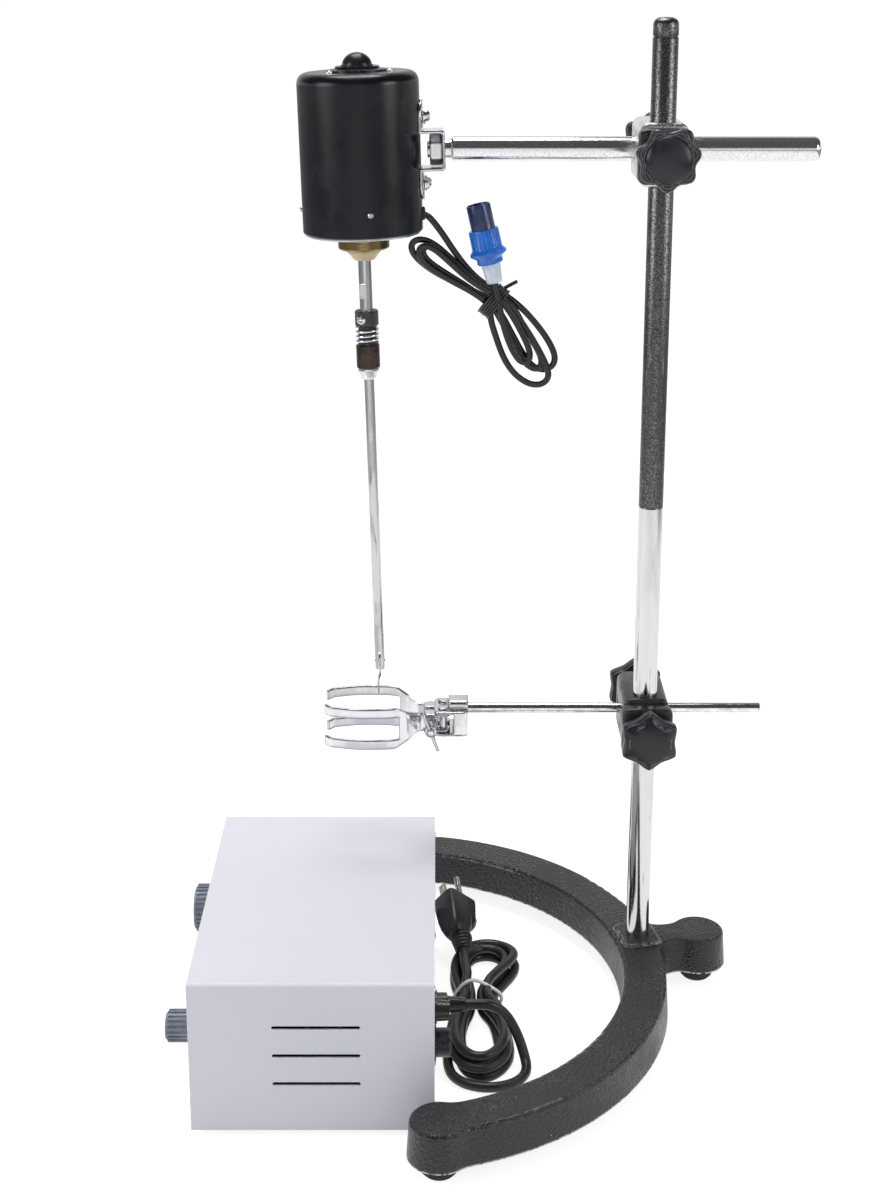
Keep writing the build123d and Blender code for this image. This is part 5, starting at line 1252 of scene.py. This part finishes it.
@dataclass
class Motor:
    """Motor with its bracket, arm and chuck."""

    arm: tuple[float, float] = (ARM_LEFT, 110.5)
    reach: float = MOTOR_REACH
    neck_length: float = 4.0
    neck_radius: float = 6.8
    stud_radius: float = 6.0
    stud_length: float = 12.0
    can_radius: float = 41.0
    grommet: float = -43.0
    collar_bottom: float = -119.5
    sleeve_top: float = -133.0
    coil_radius: float = 7.35
    coil_wire: float = 0.95
    coil_turns: float = 3.5
    coil_steps: int = 150
    sleeve_length: float = 16.5
    travel: float = 6.0

    def build(self, paint: Paintbox) -> None:
        """Finish the frame's pieces and add the grommet and the spring.

        Args:
            paint: The materials.
        """
        paint.nodes({
            "bracket": "jaw_zinc", "bracket_nut": "jaw_zinc", "motor_screws": "zinc_plate",
            "motor_can": "gloss_enamel", "top_cover": "gloss_enamel", "dome_cap": "cap_black",
            "end_plate": "turned_steel", "motor_bearings": "turned_steel", "stator": "lamination",
            "brush_holders": "black_oxide", "brass_boss": "passivated", "oil_seal": "seal_cream",
            "motor_shaft": "stir_steel", "rotor_core": "winding_copper", "chuck_body": "black_oxide",
            "chuck_sleeve": "sleeve_brown", "chuck_screw": "bright_steel", "stirring_rod": "stir_steel",
            "stirring_blade": "turned_steel"})
        self.turn_arm(paint)
        self.fit_grommet(paint)
        self.coil_spring(paint)
        self.turn_nose(paint)

    def turn_arm(self, paint: Paintbox) -> None:
        """Horizontal arm: a round right end, a neck and the stud through the bracket.

        Args:
            paint: The materials.
        """
        left, right = self.arm
        mesh = bmesh.new()
        lathe(mesh, placed((0, ARM_DEPTH, ARM_HEIGHT), turn(90, "Y")), [
            (0.2, left), (7.0, left), (8.5, left + 1.5), (8.5, right - 4.4), (8.2, right - 3.0), (7.4, right - 1.8),
            (6.0, right - 0.8), (4.2, right - 0.2), (0.2, right)], 64)
        neck = self.reach - self.neck_length
        lathe(mesh, MOTOR @ turn(90, "Y"), [
            (0.2, neck - self.stud_length), (self.stud_radius - 0.5, neck - self.stud_length),
            (self.stud_radius, neck - self.stud_length + 0.5), (self.stud_radius, neck), (self.neck_radius, neck),
            (self.neck_radius, self.reach + 3.0), (0.2, self.reach + 3.0)], 40)
        piece = paint.coat(mesh_piece("turned_arm", mesh), "arm_steel")
        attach(piece, "arm")
        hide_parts("arm_rod")

    def turn_nose(self, paint: Paintbox) -> None:
        """Bright nose under the chuck's sleeve, and the flat milled on the shaft above it.

        Args:
            paint: The materials.
        """
        low = self.sleeve_top - self.sleeve_length
        mesh = bmesh.new()
        lathe(mesh, MOTOR, [(6.6, low - 0.15), (7.4, low - 0.25), (7.4, low - 1.6), (7.0, low - 1.95), (5.0, low - 7.7),
                            (4.6, low - 8.0), (3.1, low - 8.0), (3.1, low - 7.0)], 40)
        brick(mesh, MOTOR @ turn(-12, "Z"), (-3.2, -4.7, -100.4), (1.9, -3.4, -90.4), 0.2)
        piece = paint.coat(mesh_piece("chuck_nose", mesh), "bright_steel")
        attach(piece, "rotor")

    def fit_grommet(self, paint: Paintbox) -> None:
        """Rubber ring where the lead leaves the can.

        Args:
            paint: The materials.
        """
        spot = MOTOR @ Matrix.Translation(Vector((self.can_radius, 0, self.grommet)) * MM) @ turn(90, "Y")
        mesh = bmesh.new()
        lathe(mesh, spot, [(2.4, -1.2), (4.2, -1.2), (4.6, -0.6), (4.6, 0.8), (4.0, 1.6), (2.9, 1.8), (2.4, 1.4)], 28)
        piece = paint.coat(mesh_piece("lead_grommet", mesh, Shade.SMOOTH), "foot_rubber")
        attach(piece, "arm")

    def coil_spring(self, paint: Paintbox) -> None:
        """Round-wire spring round the chuck, between the collar and the sleeve.

        Args:
            paint: The materials.
        """
        top = self.collar_bottom - self.coil_wire - 0.1
        low = self.sleeve_top + self.coil_wire + 0.1
        r = self.coil_radius
        line = []
        for k in range(self.coil_steps + 1):
            angle = 2 * math.pi * self.coil_turns * k / self.coil_steps
            height = low + (top - low) * k / self.coil_steps
            line.append(MOTOR @ (Vector((r * math.cos(angle), r * math.sin(angle), height)) * MM))
        mesh = bmesh.new()
        tube(mesh, line, circle(self.coil_wire, 8), MOTOR.to_3x3() @ Vector((0, 0, 1)))
        piece = paint.coat(mesh_piece("sleeve_spring", mesh, Shade.SMOOTH), "bright_steel")
        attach(piece, "rotor")
        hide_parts("chuck_spring")
        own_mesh(piece)


@dataclass
class FlaskClamp:
    """Two-fingered clamp on its thin rod."""

    def build(self, paint: Paintbox) -> None:
        """Finish the frame's own pieces."""
        paint.nodes({"clamp_rod": "bright_steel", "clamp_body": "jaw_zinc", "rear_jaw": "jaw_zinc",
                     "front_jaw": "jaw_zinc", "wing_screw": "jaw_zinc"})


@dataclass
class Controller:
    """Speed controller: box, dials, switch and sockets."""

    left: float = -308.0
    right: float = -150.0
    inset: float = 1.0
    speed: tuple[float, float] = (5.0, 58.0)
    timer: tuple[float, float] = (-150.0, 58.0)
    outlet: tuple[float, float] = (-148.0, 44.0)
    screw_depths: tuple[float, float] = (-176.0, 37.0)
    screw_heights: tuple[float, float] = (16.0, 101.0)
    outlet_screw: float = 15.5

    def build(self, paint: Paintbox) -> None:
        """Finish the frame's pieces and add screws and dial marks.

        Args:
            paint: The materials.
        """
        paint.nodes({
            "case_cover": "case_coat", "case_chassis": "panel_satin", "case_feet": "foot_rubber",
            "circuit_board": "board_green", "panel_controls": "board_green", "speed_knob": "dial_grey",
            "timer_knob": "dial_grey", "switch_frame": "switch_black", "rocker": "switch_black",
            "motor_socket": "knurled_black", "fuse_holder": "switch_black", "cable_gland": "switch_black",
            "plug_pins": "bright_steel"})
        self.dial(paint, "speed_dial", self.speed, 21.5, 11, 270)
        self.dial(paint, "timer_dial", self.timer, 14.5, 13, 300)
        self.screws(paint)

    def dial(self, paint: Paintbox, name: str, spot: tuple[float, float], radius: float, marks: int,
             sweep: float) -> None:
        """Printed ticks round a knob.

        Args:
            paint: The materials.
            name: Name of the piece.
            spot: The knob's place on the panel.
            radius: Inner radius of the ticks.
            marks: Number of ticks.
            sweep: Degrees from the first to the last.
        """
        face = placed((self.left + self.inset, *spot), turn(-90, "Y"))
        mesh = bmesh.new()
        for k in range(marks):
            ray = face @ turn(180 + (360 - sweep) / 2 + sweep * k / (marks - 1), "Z")
            long = 5.0 if k % 2 == 0 else 3.0
            brick(mesh, ray, (radius, -0.4, 0.0), (radius + long, 0.4, 0.12))
        piece = paint.coat(mesh_piece(name, mesh, Shade.FLAT), "mark_dark")
        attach(piece, "stand")

    def screws(self, paint: Paintbox) -> None:
        """Small pan screws at the corners of both panels and beside the socket.

        Args:
            paint: The materials.
        """
        mesh = bmesh.new()
        rear, front = (self.right - self.inset, 90), (self.left + self.inset, -90)
        spots = [(*face, y, z) for face in (rear, front) for y in self.screw_depths for z in self.screw_heights]
        y, z = self.outlet
        spots += [(*rear, y, z + dz) for dz in (-self.outlet_screw, self.outlet_screw)]
        for x, angle, y, z in spots:
            spot = placed((x, y, z), turn(angle, "Y"))
            lathe(mesh, spot, [(2.6, -0.4), (2.6, 0.7), (2.2, 1.3), (1.1, 1.7)], 20)
        piece = paint.coat(mesh_piece("panel_screws", mesh), "zinc_plate")
        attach(piece, "stand")


# ------------------------------------------------------------------ studio
@dataclass
class Studio:
    """Pale floor, soft lamps, world and camera."""

    eye: Point = (-147.9, -1224.7, 746.8)
    pitch: float = 0.2674
    lens: float = 55.3
    shift: tuple[float, float] = (0.0005, -0.125)
    bench_half: float = 9000.0
    # Painted reflection: middle and edges, in metres across, of the band where the bench glows for glossy rays.
    bench_glow: float = 0.85
    reflected_glow_middle: float = 0.15
    reflected_glow_edges: tuple[float, float] = (1.1, 1.4)
    world_light: float = 0.56
    lamps: tuple[tuple[str, Point, Point, float, float], ...] = (
        ("top_lamp", (-250, 430, 1900), (-120, 0, 300), 800, 17),
        ("left_lamp", (-1250, -520, 880), (-180, 0, 500), 560, 5.5),
        ("right_lamp", (1050, -600, 900), (-180, 0, 500), 560, 5.5))

    def build(self) -> None:
        """Set everything up."""
        scene = bpy.context.scene
        scene.view_settings.view_transform = "Standard"
        self.camera(scene)
        self.floor()
        self.world(scene)
        for one in self.lamps:
            self.lamp(*one)

    def camera(self, scene: bpy.types.Scene) -> None:
        """Camera at the bench.

        Args:
            scene: The scene.
        """
        data = bpy.data.cameras.new("camera")
        data.sensor_fit = "VERTICAL"
        data.sensor_height = 36.0
        data.lens = self.lens
        data.shift_x, data.shift_y = self.shift
        data.clip_end = 50.0
        piece = bpy.data.objects.new("camera", data)
        piece.location = at(*self.eye)
        piece.rotation_euler = (math.pi / 2 - self.pitch, 0.0, 0.0)
        scene.collection.objects.link(piece)
        scene.camera = piece

    def floor(self) -> None:
        """Plain bench top that keeps a faint shadow, and in reflections glows as painted light, bright near the stand
        and dim far to either side.
        """
        mesh = bmesh.new()
        half = self.bench_half
        brick(mesh, Matrix.Identity(4), (-half, -half, -4), (half, half, -0.05))
        piece = mesh_piece("bench", mesh, Shade.FLAT)
        material = bpy.data.materials.new("bench_white")
        material.use_nodes = True
        g = Graph(material.node_tree)
        g.tree.nodes.clear()
        path = g.node("ShaderNodeLightPath")
        noise = g.node("ShaderNodeTexNoise", None, Scale=3.0)
        tone = g.mix(noise.outputs["Fac"], (0.80, 0.80, 0.80), (0.82, 0.82, 0.82))
        plain = g.node("ShaderNodeBsdfDiffuse", None, Color=tone)
        soft = g.node("ShaderNodeBsdfDiffuse", None, Color=(0.34, 0.34, 0.34))
        spot = g.node("ShaderNodeSeparateXYZ", None, Vector=g.node("ShaderNodeNewGeometry").outputs["Position"])
        # Painted reflection: glossy rays see the bench glow bright near the stand and dim more than 1.4 m to either
        # side.
        side = g.math("ABSOLUTE", g.math("SUBTRACT", spot.outputs["X"], FOOT.x - self.reflected_glow_middle))
        reflected_glow = g.remap(side, *self.reflected_glow_edges, 0.8, 0.08)
        level = g.remap(path.outputs["Is Glossy Ray"], 0.0, 1.0, self.bench_glow, reflected_glow)
        glow = g.node("ShaderNodeEmission", None, Color=(1.0, 1.0, 1.0), Strength=level)
        seen = g.node("ShaderNodeAddShader")
        g.feed(seen.inputs[0], soft.outputs[0])
        g.feed(seen.inputs[1], glow.outputs[0])
        both = g.blend(g.math("MAXIMUM", path.outputs["Is Camera Ray"], g.mirrored(path)), plain, seen)
        end = g.node("ShaderNodeOutputMaterial")
        g.feed(end.inputs["Surface"], both.outputs[0])
        piece.data.materials.append(material)

    def world(self, scene: bpy.types.Scene) -> None:
        """White for the camera, a room with dark parts for gloss, and even light for the rest.

        Args:
            scene: The scene.
        """
        world = bpy.data.worlds.new("studio")
        scene.world = world
        world.use_nodes = True
        g = Graph(world.node_tree)
        g.tree.nodes.clear()
        path = g.node("ShaderNodeLightPath")
        ray = g.node("ShaderNodeTexCoord").outputs["Generated"]
        part = g.node("ShaderNodeSeparateXYZ", None, Vector=ray)
        up, back, right = part.outputs["Z"], part.outputs["Y"], part.outputs["X"]
        low = g.remap(up, 0.02, 0.30, 1.0, 0.0)
        behind = g.remap(back, 0.35, 0.95)
        room = g.math("MAXIMUM", low, g.math("MULTIPLY", behind, 0.75))
        slots = g.math("MULTIPLY", g.remap(g.math("ABSOLUTE", g.math("SUBTRACT", right, 0.62)), 0.16, 0.08), 0.25)
        dim = g.remap(g.math("SUBTRACT", room, slots), 0.0, 1.0, 0.05, 0.95)
        gloss = g.node("ShaderNodeBackground", None, Color=dim, Strength=1.0)
        light = g.node("ShaderNodeBackground", None, Color=(1.0, 1.0, 1.0), Strength=self.world_light)
        white = g.node("ShaderNodeBackground", None, Color=(1.0, 1.0, 1.0), Strength=1.0)
        two = g.blend(path.outputs["Is Camera Ray"], g.blend(g.mirrored(path), light, gloss), white)
        end = g.node("ShaderNodeOutputWorld")
        g.feed(end.inputs["Surface"], two.outputs[0])

    @staticmethod
    def lamp(name: str, place: Point, aim: Point, size: float, power: float) -> None:
        """A large soft lamp.

        Args:
            name: Its name.
            place: Where it hangs.
            aim: What it points at.
            size: Side of its square in millimetres.
            power: Watts.
        """
        data = bpy.data.lights.new(name, "AREA")
        data.size = size * MM
        data.energy = power
        piece = bpy.data.objects.new(name, data)
        piece.location = at(*place)
        piece.rotation_euler = (at(*aim) - at(*place)).to_track_quat("-Z", "Y").to_euler()
        bpy.context.scene.collection.objects.link(piece)


def main() -> None:
    """Build the studio and dress the stirrer."""
    logging.basicConfig(level=logging.INFO, format="%(message)s")
    Studio().build()
    paint = Paintbox()
    plug = Plug().build(paint)
    MainsCord().build(paint, plug)
    MotorLead().build(paint)
    for part in (Stand(), BossHeads(), Motor(), FlaskClamp(), Controller()):
        part.build(paint)
        LOG.info("built %s", type(part).__name__)


if __name__ == "__main__":
    main()
